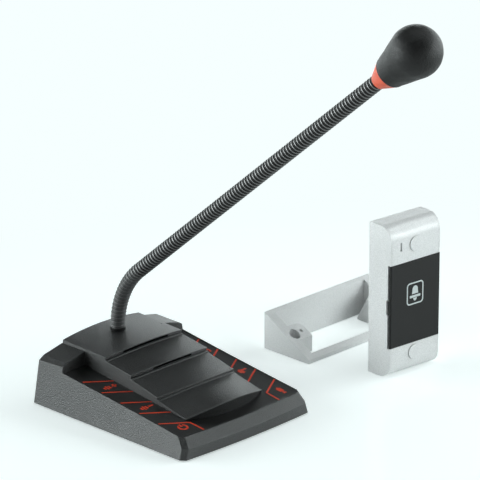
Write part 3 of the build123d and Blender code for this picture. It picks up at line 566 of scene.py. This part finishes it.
# %% Rib profile
CREST_R = 5.36
NECK_BORE = 3.4
PITCH = 3.15
WIRE_R = 0.86                       # round wire
FLAT_DEPTH = (0.26, 0.42)           # the flat wire's face below the crest, low and high
FLAT_HALF = 0.55
SHOULDER = 0.12                     # the flat wire's edge is soft over this width
SHOULDER_FALL = 3.0                 # and falls off this steeply
GROOVE_DEPTH = 0.86
HELD_FROM = 40.0                    # hands hold the neck above this distance
HELD_OVER = 18.0                    # and the wear fades in over this one


def between(first, last, share):
    """first where the share is 0, last where it is 1, and an even blend in between."""
    return first + (last - first) * share


def rib_radius(phase, flat_depth):
    """Radius from the phase in turns: a half circle at 0, a flat with soft shoulders
    at one half, and a groove wherever neither reaches."""
    x = ((phase + 0.5) % 1.0 - 0.5) * PITCH
    round_wire = np.sqrt(np.maximum(WIRE_R**2 - x**2, 0.0)) - WIRE_R
    away = np.abs(((phase % 1.0) - 0.5) * PITCH)
    past = np.maximum(away - FLAT_HALF + SHOULDER, 0.0)
    flat_wire = -flat_depth - SHOULDER_FALL * past**2 / SHOULDER
    depth = np.maximum(np.maximum(round_wire, flat_wire), -GROOVE_DEPTH)
    return CREST_R + depth


def held_share(s):
    """0 at the neck's foot and 1 where hands hold it, as a column for rows of rings."""
    return np.clip((s - HELD_FROM) / HELD_OVER, 0, 1)[:, None]


print("radius of crest, flat and groove:", rib_radius(np.array([0, 0.5, 0.28]), 0.42).round(2))

# %% [markdown]
# A tube is then a stack of rings. The rings go out along the neck with the ribs and
# come back along it with the bore, so the wrapped grid is a closed wall. Each point
# also gets its crest value, the share of bare metal that the neck's finish reads.

# %% Rings and a ribbed tube
RIB_STEPS = 14                      # rings for each pitch
BORE_STEP = 3.0                     # millimetres from ring to ring in the bore
NECK_COLUMNS = 40
RUBBED = 0.4                        # where it is held, the wire is bare down to this depth
FOOT_SHARE = 0.5                    # wear of the foot against that of the rest
ACROSS = np.array([1.0, 0.0, 0.0])


def rings(centres, tangents, radius):
    """Circles around a line: the point at angle a is
    centre + radius * (cos a * across + sin a * (tangent x across))."""
    columns = radius.shape[1]
    angle = 2 * math.pi * (np.arange(columns) / columns)
    beside = np.cross(tangents, ACROSS)
    circle = np.cos(angle)[:, None] * ACROSS + np.sin(angle)[:, None] * beside[..., None, :]
    return centres[:, None, :] + radius[..., None] * circle


def crest_share(radius, s):
    """1 on a rubbed crest and 0 in the groove, by the depth below the crest."""
    held = held_share(s)
    reach = between(GROOVE_DEPTH, RUBBED, held)
    return np.clip((radius - CREST_R + reach) / reach, 0, 1) * between(FOOT_SHARE, 1.0, held)


def ribbed_tube(name, start, end):
    """A closed wall: rings of rib_radius(distance / pitch - turn), then of the bore."""
    outside = np.linspace(start, end, int((end - start) / PITCH * RIB_STEPS))
    inside = np.linspace(end, start, int((end - start) / BORE_STEP))
    turn = np.arange(NECK_COLUMNS) / NECK_COLUMNS
    flat_depth = between(*FLAT_DEPTH, held_share(outside))
    ribs = rib_radius(outside[:, None] / PITCH - turn[None, :], flat_depth)
    radius = np.vstack([ribs, np.full((len(inside), NECK_COLUMNS), NECK_BORE)])
    s = np.concatenate([outside, inside])
    grid = rings(*neck_line(s), radius)
    faces = grid_faces(len(s), NECK_COLUMNS, True, True)
    piece = make_piece(name, console_place(grid), faces, FINISHES["neck_black"])
    layer = piece.data.attributes.new("crest", "FLOAT", "POINT")
    layer.data.foreach_set("value", crest_share(radius, s).ravel().astype(np.float32))
    return piece


print("rings for each turn of the wire:", RIB_STEPS)

# %% [markdown]
# The neck is drawn in four lengths, one for each CAD part. The upper one rides on the
# arm and the end one on the head, and the other two stay where they are drawn.

# %% Wind the four lengths
JOINT_LENGTH = 78.0
END_LENGTH = 39.6
STRAIGHT_AT = RISE_LENGTH + BEND_LENGTH
JOINT_END = HEAD_AT - END_LENGTH
JOINT_START = JOINT_END - JOINT_LENGTH

lower = ribbed_tube("neck_lower_ribs", 0.0, STRAIGHT_AT)
upper = ribbed_tube("neck_upper_ribs", STRAIGHT_AT, JOINT_START)
joint = ribbed_tube("neck_joint_ribs", JOINT_START, JOINT_END)
end = ribbed_tube("neck_end_ribs", JOINT_END, HEAD_AT)
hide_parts("neck_lower")
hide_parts("neck_upper")
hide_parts("neck_joint")
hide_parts("neck_end")
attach(upper, "neck_arm")
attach(end, "mic_head")


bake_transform(lower)
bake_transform(joint)
print("turns of the round wire:", round(HEAD_AT / PITCH))

# %% [markdown]
# ## Shapes turned on the head's axis
# The light ring and the foam are shapes of revolution about the neck's last tangent.
# Their profile is a list of radii and distances along that axis. The ring is a cone
# with a wall, and all its corners are rounded so that they catch the light.

# %% Turn a profile about the head's axis


def turned_grid(profile, columns):
    """Rings of each radius at each distance along the head's axis, from its foot."""
    radii, along = np.asarray(profile, float).T
    foot, axis = neck_line(HEAD_AT)
    centres = foot + along[:, None] * axis
    return rings(centres, axis, np.repeat(radii[:, None], columns, axis=1))


def rounded_corner(before, corner, after, radius, steps=5):
    """Points on a small curve that replaces a corner of a profile, by the quadratic
    (1-t)^2 p + 2 t (1-t) corner + t^2 q between points p and q at radius from it."""
    before, corner, after = (np.array(p, float) for p in (before, corner, after))
    p = corner + (before - corner) / np.linalg.norm(before - corner) * radius
    q = corner + (after - corner) / np.linalg.norm(after - corner) * radius
    t = np.linspace(0, 1, steps)[:, None]
    return (1 - t) ** 2 * p + 2 * t * (1 - t) * corner + t**2 * q


def rounded_loop(corners, radius):
    """A closed profile with all its corners rounded."""
    count = len(corners)
    arcs = [
        rounded_corner(corners[k - 1], corners[k], corners[(k + 1) % count], radius)
        for k in range(count)
    ]
    return np.vstack(arcs)


print("points of a rounded square:", len(rounded_loop([(0, 0), (4, 0), (4, 4), (0, 4)], 1)))

# %% The light ring
CONE_LENGTH = 13.5
CONE_R = 11.3
CONE_FOOT_R = 5.7
CONE_WALL = 1.2
CONE_ROUND = 0.25
CONE_COLUMNS = 96

profile = rounded_loop(
    [
        (CONE_FOOT_R, 0.0), (CONE_R, CONE_LENGTH),
        (CONE_R - CONE_WALL, CONE_LENGTH), (CONE_FOOT_R - CONE_WALL, 0.0),
    ],
    CONE_ROUND,
)
light_ring = make_piece(
    "light_ring_frosted", console_place(turned_grid(profile, CONE_COLUMNS)),
    grid_faces(len(profile), CONE_COLUMNS, True, True), FINISHES["ring_red"],
)
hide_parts("light_ring")
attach(light_ring, "mic_head")

# %% [markdown]
# ## The foam windscreen
# The foam is a cone that runs smoothly into a ball, cut from a soft block, so its skin
# isn't perfectly true. The profile is exact, a straight flank that touches an arc, and
# low waves in three directions make it slightly uneven. Its hollow is closed inside.

# %% Foam profile and skin
FOAM_R = 17.7
BALL_AT = 42.0
FOAM_BORE = 7.5
BORE_END = 36.0
FOOT_RIM = 0.4                      # a row of points this far in keeps the foot's edge crisp
FOAM_COLUMNS = 160
WAVE_HEIGHT = 0.07
SKIN_INSET = 0.1                    # the waves run about a skin this far inside the block
# each wave is a product of two sines: axis, radians per millimetre, phase of each
WAVES = (((0, 0.55, 1.0), (1, 0.45, 0.0)), ((2, 0.62, 2.0), (0, 0.8, 0.5)))


def foam_profile(flank_steps=60, ball_steps=90):
    """Radius and distance: a line from the ring's rim to the point where a tangent
    touches the ball, then the ball's arc up to its tip."""
    rise = BALL_AT - CONE_LENGTH
    touch = math.atan2(CONE_R, rise) + math.acos(FOAM_R / math.hypot(rise, CONE_R))
    touch_point = np.array([FOAM_R * math.sin(touch), BALL_AT - FOAM_R * math.cos(touch)])
    t = np.linspace(0, 1, flank_steps)[:, None]
    flank = (1 - t) * np.array([CONE_R, CONE_LENGTH]) + t * touch_point
    angle = np.linspace(touch, math.pi, ball_steps)[1:]
    ball = np.stack([FOAM_R * np.sin(angle), BALL_AT - FOAM_R * np.cos(angle)], axis=1)
    return np.vstack([flank, ball])


def skin_wave(grid):
    """Sum over the waves of sin(rate * coordinate + phase) for one axis * the other."""
    def sine(axis, rate, phase):
        return np.sin(grid[..., axis] * rate + phase)

    return sum(sine(*first) * sine(*second) for first, second in WAVES)


def foam_skin(grid, along, skin):
    """Rows with skin 1 move out from the axis by wave * height - inset, others stay."""
    foot, axis = neck_line(HEAD_AT)
    outward = grid - (foot + along[:, None] * axis)[:, None, :]
    length = np.maximum(np.linalg.norm(outward, axis=-1, keepdims=True), 1e-6)
    shift = (skin_wave(grid) * WAVE_HEIGHT - SKIN_INSET) * skin[:, None]
    return grid + outward / length * shift[..., None]


outer = foam_profile()
outer[-1, 0] = 0.0
bore = [
    (0.0, BORE_END), (FOAM_BORE, BORE_END),
    (FOAM_BORE, CONE_LENGTH), (CONE_R - FOOT_RIM, CONE_LENGTH),
]
profile = np.vstack([outer, bore])
# the foot's edge, the tip and the bore stay where they are
skin = np.zeros(len(profile))
skin[2:len(outer) - 1] = 1.0
grid = foam_skin(turned_grid(profile, FOAM_COLUMNS), profile[:, 1], skin)
foam = make_piece(
    "foam_windscreen", console_place(grid), grid_faces(len(profile), FOAM_COLUMNS, True, True),
    FINISHES["foam_grey"],
)
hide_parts("windscreen")
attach(foam, "mic_head")

# %% [markdown]
# ## Printing on the keypad
# Lines and signs are printed ink on a sloping film. Each stroke is a thin slab: a
# rectangle carried along a path in the film's plane. Paths are given in console
# millimetres seen from above, and the slope lifts them to the film. Where a path turns,
# the two sides of the stroke meet on its mitre.

# %% The film and the sides of a stroke
DECK_Y = -69.6                      # front edge of the keypad
DECK_Z = 15.24                      # height of its rim there
DECK_SLOPE = 0.1185
FILM_DROP = 0.3                     # the film lies this far below the rim
MITRE_LIMIT = 0.3                   # smallest cosine at a corner, so mitres stay short
PRINT_SHIFT = np.array([0.5, -0.55])


def deck_film(xy, lift):
    """Height of the film at y, plus lift: z = rim height + slope * (y - front) - drop.
    The print is a little out of register, by the same shift everywhere."""
    xy = np.asarray(xy, float) + PRINT_SHIFT
    z = DECK_Z + DECK_SLOPE * (xy[..., 1] - DECK_Y) - FILM_DROP + lift
    return console_place(np.concatenate([xy, z[..., None]], axis=-1))


def stroke_sides(path, width):
    """Left and right edges of a flat stroke: each path point moved along its mitre."""
    path = np.asarray(path, float)
    steps = np.diff(path, axis=0)
    steps /= np.linalg.norm(steps, axis=1, keepdims=True)
    before = np.vstack([steps[:1], steps])
    after = np.vstack([steps, steps[-1:]])
    normal = np.stack([-(before + after)[:, 1], (before + after)[:, 0]], axis=1)
    normal /= np.linalg.norm(normal, axis=1, keepdims=True)
    side = np.stack([-before[:, 1], before[:, 0]], axis=1)
    reach = width / 2 / np.maximum((normal * side).sum(axis=1, keepdims=True), MITRE_LIMIT)
    return path + normal * reach, path - normal * reach


print("height of the film at its front:", round(float(deck_film((0, DECK_Y), 0)[2]), 4))

# %% [markdown]
# A bar is a row of equal cross-sections, joined, with both ends closed. For a stroke
# the section is a thin rectangle whose underside is sunk into the film, so no gap shows
# under the ink. All the strokes that are printed together become one piece.

# %% Bars, slabs of ink and printed pieces
INK_TOP = 0.05                      # ink stands this far above the film
INK_FOOT = -0.03                    # and its underside is sunk into it


def capped(grid):
    """Points and faces of a closed bar: rows of corners, joined, with both ends capped."""
    rows, corners = grid.shape[:2]
    last = corners * (rows - 1)
    ends = [list(range(corners)), [last + k for k in reversed(range(corners))]]
    return grid.reshape(-1, 3), grid_faces(rows, corners, False, True).tolist() + ends


def slab(left, right, surface):
    """A closed thin slab of ink on a surface, between its left and right edges."""
    edges = ((left, INK_FOOT), (left, INK_TOP), (right, INK_TOP), (right, INK_FOOT))
    return capped(np.stack([surface(edge, lift) for edge, lift in edges], axis=1))


def printed(name, slabs, body, material):
    """Makes one piece from several slabs, riding on a body."""
    points, faces, count = [], [], 0
    for slab_points, slab_faces in slabs:
        points.append(slab_points)
        faces += [[corner + count for corner in face] for face in slab_faces]
        count += len(slab_points)
    piece = make_piece(name, np.vstack(points), faces, material, smooth=False)
    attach(piece, body)


print("faces of one slab:", len(slab([(0, 0), (0, 1)], [(1, 0), (1, 1)], deck_film)[1]))

# %% [markdown]
# Red lines run diagonally from the rim of the film inwards and forwards. They mark
# where one key ends and the next begins, so each lies on the film just outside a key.
# The two frontmost ones turn and run on along the hood to the front.

# %% Red lines
LINE_OUT_X = 56.3
LINE_IN_X = 37.2
LINE_W = 1.25
DIAGONAL = -0.577
LINES_Y = (29.9, 10.9, -7.7, -26.3, -44.9)
FRONT_TURN = (36.6, -69.8)


def line_paths(side):
    """The red lines on one side, -1 for the left and +1 for the right."""
    paths = []
    for y in LINES_Y:
        inner = (side * LINE_IN_X, y + DIAGONAL * (LINE_OUT_X - LINE_IN_X))
        path = [(side * LINE_OUT_X, y), inner]
        if y == LINES_Y[-1]:
            path.append((side * FRONT_TURN[0], FRONT_TURN[1]))
        paths.append(path)
    return paths


slabs = [
    slab(*stroke_sides(path, LINE_W), deck_film)
    for side in (-1, 1)
    for path in line_paths(side)
]
printed("keypad_lines", slabs, "console", RED_INK)

# %% [markdown]
# ## Lips and rims on the hood
# Each step of the hood ends in a rolled lip that stands a little ahead of the moulding,
# and the step in front of it starts with a low rim. Both are painted paler, a painted
# highlight for the light that their rounded edges catch. Black strips under the two rear
# lips are painted shade in the speaker slits, and a dull black strip on the front face is
# painted shade under the last step. Each is a slim bar that follows the bowed edge of a step.

# %% Lips, rims, felts and apron
HOOD_HALF = 36.7
BAR_HALF = 36.65                    # a bar ends just short of the hood's sides
BAR_ROWS = 61
STEPS = (
    # rear y, front y, rear edge z, front edge z, rear crown, front crown, front bulge
    (75.0, 26.4, 41.7, 40.3, 3.1, 3.1, 3.0),
    (26.4, 1.4, 37.7, 34.1, 3.1, 3.8, 4.6),
    (1.4, -24.6, 31.3, 25.4, 3.8, 5.0, 6.6),
    (-24.6, -52.1, 23.3, 17.6, 5.0, 7.9, 9.3),
)
SLIT_HALVES = (21.5, 18.5)          # half widths of the two speaker slits
# corners of each bar's section: ahead of the edge, above the top it follows
LIP = ((-0.5, -0.3), (-0.5, 0.15), (0.1, 0.4), (0.45, 0.35), (0.6, 0.1), (0.6, -0.3))
RIM = ((-0.7, -0.1), (-0.7, 0.35), (0.9, 0.6), (1.4, 0.45), (1.55, 0.15), (1.55, -0.1))
# a black strip in each speaker slit, painted shade for its dark depth
SLIT_SHADE = ((-0.4, -2.0), (-0.4, -0.2), (0.1, -0.2), (0.1, -2.0))
# a black strip on the front face of the last step, painted shade under its overhang
FRONT_SHADE = ((-0.4, -9.0), (-0.4, -0.2), (0.12, -0.2), (0.12, -9.0))


def arc_height(x, half, rise):
    """Height at x of a circular arc over -half to half that rises to rise:
    root(radius^2 - x^2) - (radius - rise), where radius = (half^2 + rise^2) / (2 rise)."""
    radius = (half**2 + rise**2) / (2 * rise)
    return np.sqrt(radius**2 - x**2) - (radius - rise)


def step_bar(edge, top, section, half=BAR_HALF):
    """A closed bar along the front edge of one step, following the top of another.
    Height of a top at (x, y) = straight fall from rear to front + crown arc at x."""
    _, edge_y, *_, bulge = edge
    rear_y, front_y, rear_z, front_z, rear_crown, front_crown, _ = top
    x = np.linspace(-half, half, BAR_ROWS)[:, None]
    ahead, lift = np.array(section).T
    y = edge_y - arc_height(x, HOOD_HALF, bulge) - ahead
    share = (rear_y - y) / (rear_y - front_y)
    crown = between(rear_crown, front_crown, share)
    z = between(rear_z, front_z, share) + arc_height(x, HOOD_HALF, crown) + lift
    return capped(console_place(np.stack([x + 0 * y, y, z], axis=-1)))


lips = [step_bar(step, step, LIP) for step in STEPS]
rims = [step_bar(step, front, RIM) for step, front in zip(STEPS, STEPS[1:])]
# the black strips in the speaker slits are painted shade
slit_shades = [step_bar(step, step, SLIT_SHADE, half) for step, half in zip(STEPS, SLIT_HALVES)]
# the black strip on the front face is painted shade
front_shade = step_bar(STEPS[-1], STEPS[-1], FRONT_SHADE)
# the paler tone of the lips and rims is a painted highlight
printed("hood_lips", lips, "console", FINISHES["painted_highlight_black"])
printed("hood_rims", rims, "console", FINISHES["painted_highlight_black"])
printed("hood_slit_shades", slit_shades, "console", FINISHES["painted_slit_shade"])
printed("hood_front_shade", [front_shade], "console", FINISHES["painted_front_shade"])

# %% [markdown]
# ## Signs on the keys
# The signs are plain ones that any such keypad has: louder, softer, on and off on the
# left, and listen, talk and microphone on the right. They are drawn with strokes too,
# each around a zero point of its own, which is then set on its key.

# %% Sign strokes
SIGN_W = 1.5
SIGN_SCALE = 1.6


def arc(centre, radius, start, end, steps=20):
    """Points on a circle between two angles in degrees."""
    angle = np.radians(np.linspace(start, end, steps))
    return np.array(centre) + radius * np.stack([np.cos(angle), np.sin(angle)], axis=1)


def bars(heights, step=1.35, start=-2.6):
    """Upright bars of a sound wave, as two-point paths."""
    return [
        [(start + k * step, -height / 2), (start + k * step, height / 2)]
        for k, height in enumerate(heights)
    ]


SIGNS = {
    # body: place of the sign, its paths
    "volume_up_key": ((-46.2, 13.8), bars((1.6, 3.0, 2.2)) + [
        [(1.3, 0), (4.1, 0)], [(2.7, -1.3), (2.7, 1.3)],
    ]),
    "volume_down_key": ((-46.2, -22.5), bars((1.6, 3.0, 2.2)) + [[(1.3, 0), (4.1, 0)]]),
    "power_key": ((-45.9, -57.8), [arc((0, 0), 1.95, 125, 415), [(0, 0.5), (0, 2.6)]]),
    "listen_key": ((47.0, 13.6), bars((2.0, 1.2), 1.1, -2.2) + [arc((0.4, 0), 1.7, -55, 55)]),
    "talk_key": ((47.0, -22.9), bars((2.4, 3.8, 3.0), 0.9, -1.8) + [[(0.6, 0.7), (2.9, 0.9)]]),
    "microphone_key": ((47.9, -58.3), bars((3.0, 4.4, 3.0), 0.8, -0.8) + [
        [(0, -2.0), (0, -3.0)], [(-0.9, -3.0), (0.9, -3.0)],
    ]),
}

for body, (centre, paths) in SIGNS.items():
    placed = [np.asarray(path, float) * SIGN_SCALE + np.array(centre) for path in paths]
    slabs = [slab(*stroke_sides(path, SIGN_W), deck_film) for path in placed]
    printed(body + "_sign", slabs, body, RED_INK)

# %% [markdown]
# ## The bell on the call plate
# The customer's plate carries one sign, a bell in a frame with round corners. Strokes
# make the frame. The bell is a filled shape, so it is a slab between two mirrored
# edges: the half width as a function of height.

# %% Bell sign
PLATE_FACE = -22.1
BELL_Z = 60.2
BELL_X = 22.85
FRAME_HALF = (7.35, 7.85)
FRAME_ROUND = 2.3
FRAME_W = 1.0


def plate_face(xz, lift):
    """A point on the plate from x and z, lifted off it towards the customer."""
    xz = np.asarray(xz, float)
    y = np.full(xz.shape[:-1], PLATE_FACE) - lift
    return panel_place(np.stack([xz[..., 0], y, xz[..., 1]], axis=-1))


def frame_path():
    """A rectangle with quarter circles at its corners, closed by repeating its start."""
    wide, tall = FRAME_HALF[0] - FRAME_ROUND, FRAME_HALF[1] - FRAME_ROUND
    corners = [(wide, tall, 0), (-wide, tall, 90), (-wide, -tall, 180), (wide, -tall, 270)]
    arcs = [arc((x, z), FRAME_ROUND, start, start + 90, 8) for x, z, start in corners]
    path = np.vstack(arcs + [arcs[0][:2]])
    return path + np.array([BELL_X, BELL_Z])


def filled(heights, halves):
    """A slab between x = -half and x = +half at each height."""
    heights, halves = np.asarray(heights, float), np.asarray(halves, float)
    left = np.stack([BELL_X - halves, BELL_Z + heights], axis=1)
    right = np.stack([BELL_X + halves, BELL_Z + heights], axis=1)
    return slab(left, right, plate_face)


# heights and half widths: the dome on its flare, the rim below it, and the clapper
dome = np.linspace(0, math.pi / 2, 12)
bell_heights = np.concatenate([[-0.4, 0.6], 2.9 + 2.7 * np.sin(dome)])
bell_halves = np.concatenate([[3.0, 2.75], 2.4 * np.cos(dome) + 0.12])
slabs = [
    slab(*stroke_sides(frame_path(), FRAME_W), plate_face),
    filled(bell_heights, bell_halves),
    filled([-3.2, -3.0, -1.6, -1.4], [4.7, 5.0, 5.0, 4.7]),
    filled([-5.8, -5.0, -4.0, -3.6], [0.4, 1.2, 1.7, 1.7]),
]
printed("bell_sign", slabs, "call_button", PALE_INK)

# %% [markdown]
# ## The table
# The set stands on a pale table with a trace of gloss. The table is one large sheet.
# A white surface under lamps never looks quite like paper, so the camera also sees a
# little light from the sheet itself. Near the set that only lifts it, so the shadows
# and faint reflections stay. Farther out it takes over, and the sheet is plain white.

# %% Table
TABLE_HALF = 4.0
TABLE_DROP = 0.0002                 # the sheet lies just below the feet
LIGHT_TINT = (0.92, 1.0, 1.0)
PAPER = ((0.9, 0.93, 0.925), (0.92, 0.95, 0.945))
PAPER_ROUGHNESS = 0.16
PAPER_SPECULAR = 0.05
LIFT = 0.4                          # strength of the sheet's own light near the set
MIRRORED = 0.4                      # share of it that mirrors on the set see
FADE_START = 0.24
FADE_END = 0.42


def table_finish():
    """The light is seen * lift near the set, and a plain white beyond the fade."""
    material, tree = new_material("table_white")
    place = tree.object_place()
    mottle = tree.add("ShaderNodeTexNoise", Vector=place, Scale=3.0, Detail=2.0)
    sheet = tree.add(
        "ShaderNodeBsdfPrincipled", Base_Color=tree.two_tones(*PAPER, mottle.outputs["Fac"]),
        Roughness=PAPER_ROUGHNESS, Specular_IOR_Level=PAPER_SPECULAR,
    )
    rays = tree.add("ShaderNodeLightPath")
    mirrored = tree.combine("MULTIPLY", rays.outputs["Is Glossy Ray"], MIRRORED)
    seen = tree.combine("MAXIMUM", rays.outputs["Is Camera Ray"], mirrored)
    strength = tree.combine("MULTIPLY", seen, LIFT)
    lift = tree.add("ShaderNodeEmission", Color=(*LIGHT_TINT, 1), Strength=strength)
    near = tree.add("ShaderNodeAddShader", i0=sheet.outputs[0], i1=lift.outputs[0])
    distance = tree.add("ShaderNodeVectorMath", {"operation": "LENGTH"}, i0=place)
    fade = tree.smooth_step(distance.outputs["Value"], FADE_START, FADE_END)
    share = tree.combine("MULTIPLY", fade, seen)
    white = tree.add("ShaderNodeEmission", Color=(*LIGHT_TINT, 1), Strength=1.0)
    whole = tree.add(
        "ShaderNodeMixShader", i0=share, i1=near.outputs[0], i2=white.outputs[0],
    )
    finish_material(tree, whole)
    return material


mesh = bpy.data.meshes.new("table")
corners = np.array([(-1, -1, 0), (1, -1, 0), (1, 1, 0), (-1, 1, 0)], float) * TABLE_HALF
corners[:, 2] = -TABLE_DROP
mesh.from_pydata(corners.tolist(), [], [[0, 1, 2, 3]])
mesh.materials.append(table_finish())
table = bpy.data.objects.new("table", mesh)
bpy.context.scene.collection.objects.link(table)
print("table:", 2 * TABLE_HALF, "m square")

# %% [markdown]
# ## The lamps
# Black plastic shows its shape only in reflections, so the lamps are large soft faces.
# A long low one stands behind the set on the left and makes the bright edges there. A
# box on the right and a long one in front on the right draw the sloping fronts, a weak
# one fills the rear right, and one almost straight above lights the tops.

# %% Lamps
MIDDLE = Vector((0.0, 0.0, 0.1))
LAMPS = {
    # name: bearing from the set (x, y), height angle, width, height, brightness of its face
    "rear_left_strip": ((-0.74, 0.66), 10, 1.8, 1.0, 5.3),
    "right_box": ((0.95, -0.3), 42, 0.9, 0.8, 2.6),
    "rear_right_box": ((0.7, 0.7), 26, 1.6, 0.6, 0.25),
    "top_box": ((1.0, 0.0), 89, 1.2, 1.2, 1.7),
    "front_right_box": ((0.7, -0.7), 17, 2.2, 0.75, 3.4),
}
LAMP_DISTANCE = 1.75


def lamp_place(bearing, height_angle):
    """A point at the lamps' distance from the middle, by its bearing and height angle."""
    level = np.array(bearing) / math.hypot(*bearing)
    angle = math.radians(height_angle)
    x, y = level * math.cos(angle) * LAMP_DISTANCE
    return Vector((x, y, MIDDLE.z + math.sin(angle) * LAMP_DISTANCE))


def soft_lamp(name, place, width, height, brightness):
    """An area lamp. Power = brightness * pi * area gives its face that radiance."""
    lamp = bpy.data.lights.new(name, "AREA")
    lamp.shape = "RECTANGLE"
    lamp.size, lamp.size_y = width, height
    lamp.energy = brightness * math.pi * width * height
    lamp.color = LIGHT_TINT
    thing = bpy.data.objects.new(name, lamp)
    bpy.context.scene.collection.objects.link(thing)
    aim(thing, place, MIDDLE)


for name, (bearing, height_angle, width, height, brightness) in LAMPS.items():
    soft_lamp(name, lamp_place(bearing, height_angle), width, height, brightness)
print("lamps:", len(LAMPS))

# %% [markdown]
# ## The world
# Between the lamps the room itself is reflected. It is a band of light around the
# horizon, brighter towards the rear right and dark above, so dark plastic that is seen
# at a low angle turns grey while the tops stay black. The camera itself sees it white.

# %% World
HORIZON = 2.5                       # mean brightness of the band of light at the horizon
TOWARDS = (1.59, 1.10, 0.0)         # how much brighter it is towards the rear right
BAND_TOP = (0.12, 0.24)             # sine of the height angle where the band fades out

world = bpy.data.worlds.new("studio")
world.use_nodes = True
bpy.context.scene.world = world
tree = Tree(world.node_tree)
direction = tree.add("ShaderNodeTexCoord").outputs["Generated"]
split = tree.add("ShaderNodeSeparateXYZ", Vector=direction)
band = tree.smooth_step(split.outputs["Z"], *BAND_TOP, before=1.0, after=0.0)
level = tree.add(
    "ShaderNodeVectorMath", {"operation": "MULTIPLY"}, i0=direction, i1=(1.0, 1.0, 0.0),
)
bearing = tree.add("ShaderNodeVectorMath", {"operation": "NORMALIZE"}, i0=level.outputs[0])
lean = tree.add(
    "ShaderNodeVectorMath", {"operation": "DOT_PRODUCT"}, i0=bearing.outputs[0], i1=TOWARDS,
)
ring = tree.combine("ADD", lean.outputs["Value"], HORIZON)
glow = tree.combine("MULTIPLY", ring, band)
rays = tree.add("ShaderNodeLightPath")
strength = tree.add(
    "ShaderNodeMix", {"data_type": "FLOAT"}, Factor=rays.outputs["Is Camera Ray"], A=glow, B=1.0,
)
sky = tree.add(
    "ShaderNodeBackground", Color=(*LIGHT_TINT, 1), Strength=strength.outputs["Result"],
)
tree.add("ShaderNodeOutputWorld", Surface=sky.outputs[0])
bpy.context.scene.view_settings.view_transform = "Standard"
print("world ready")
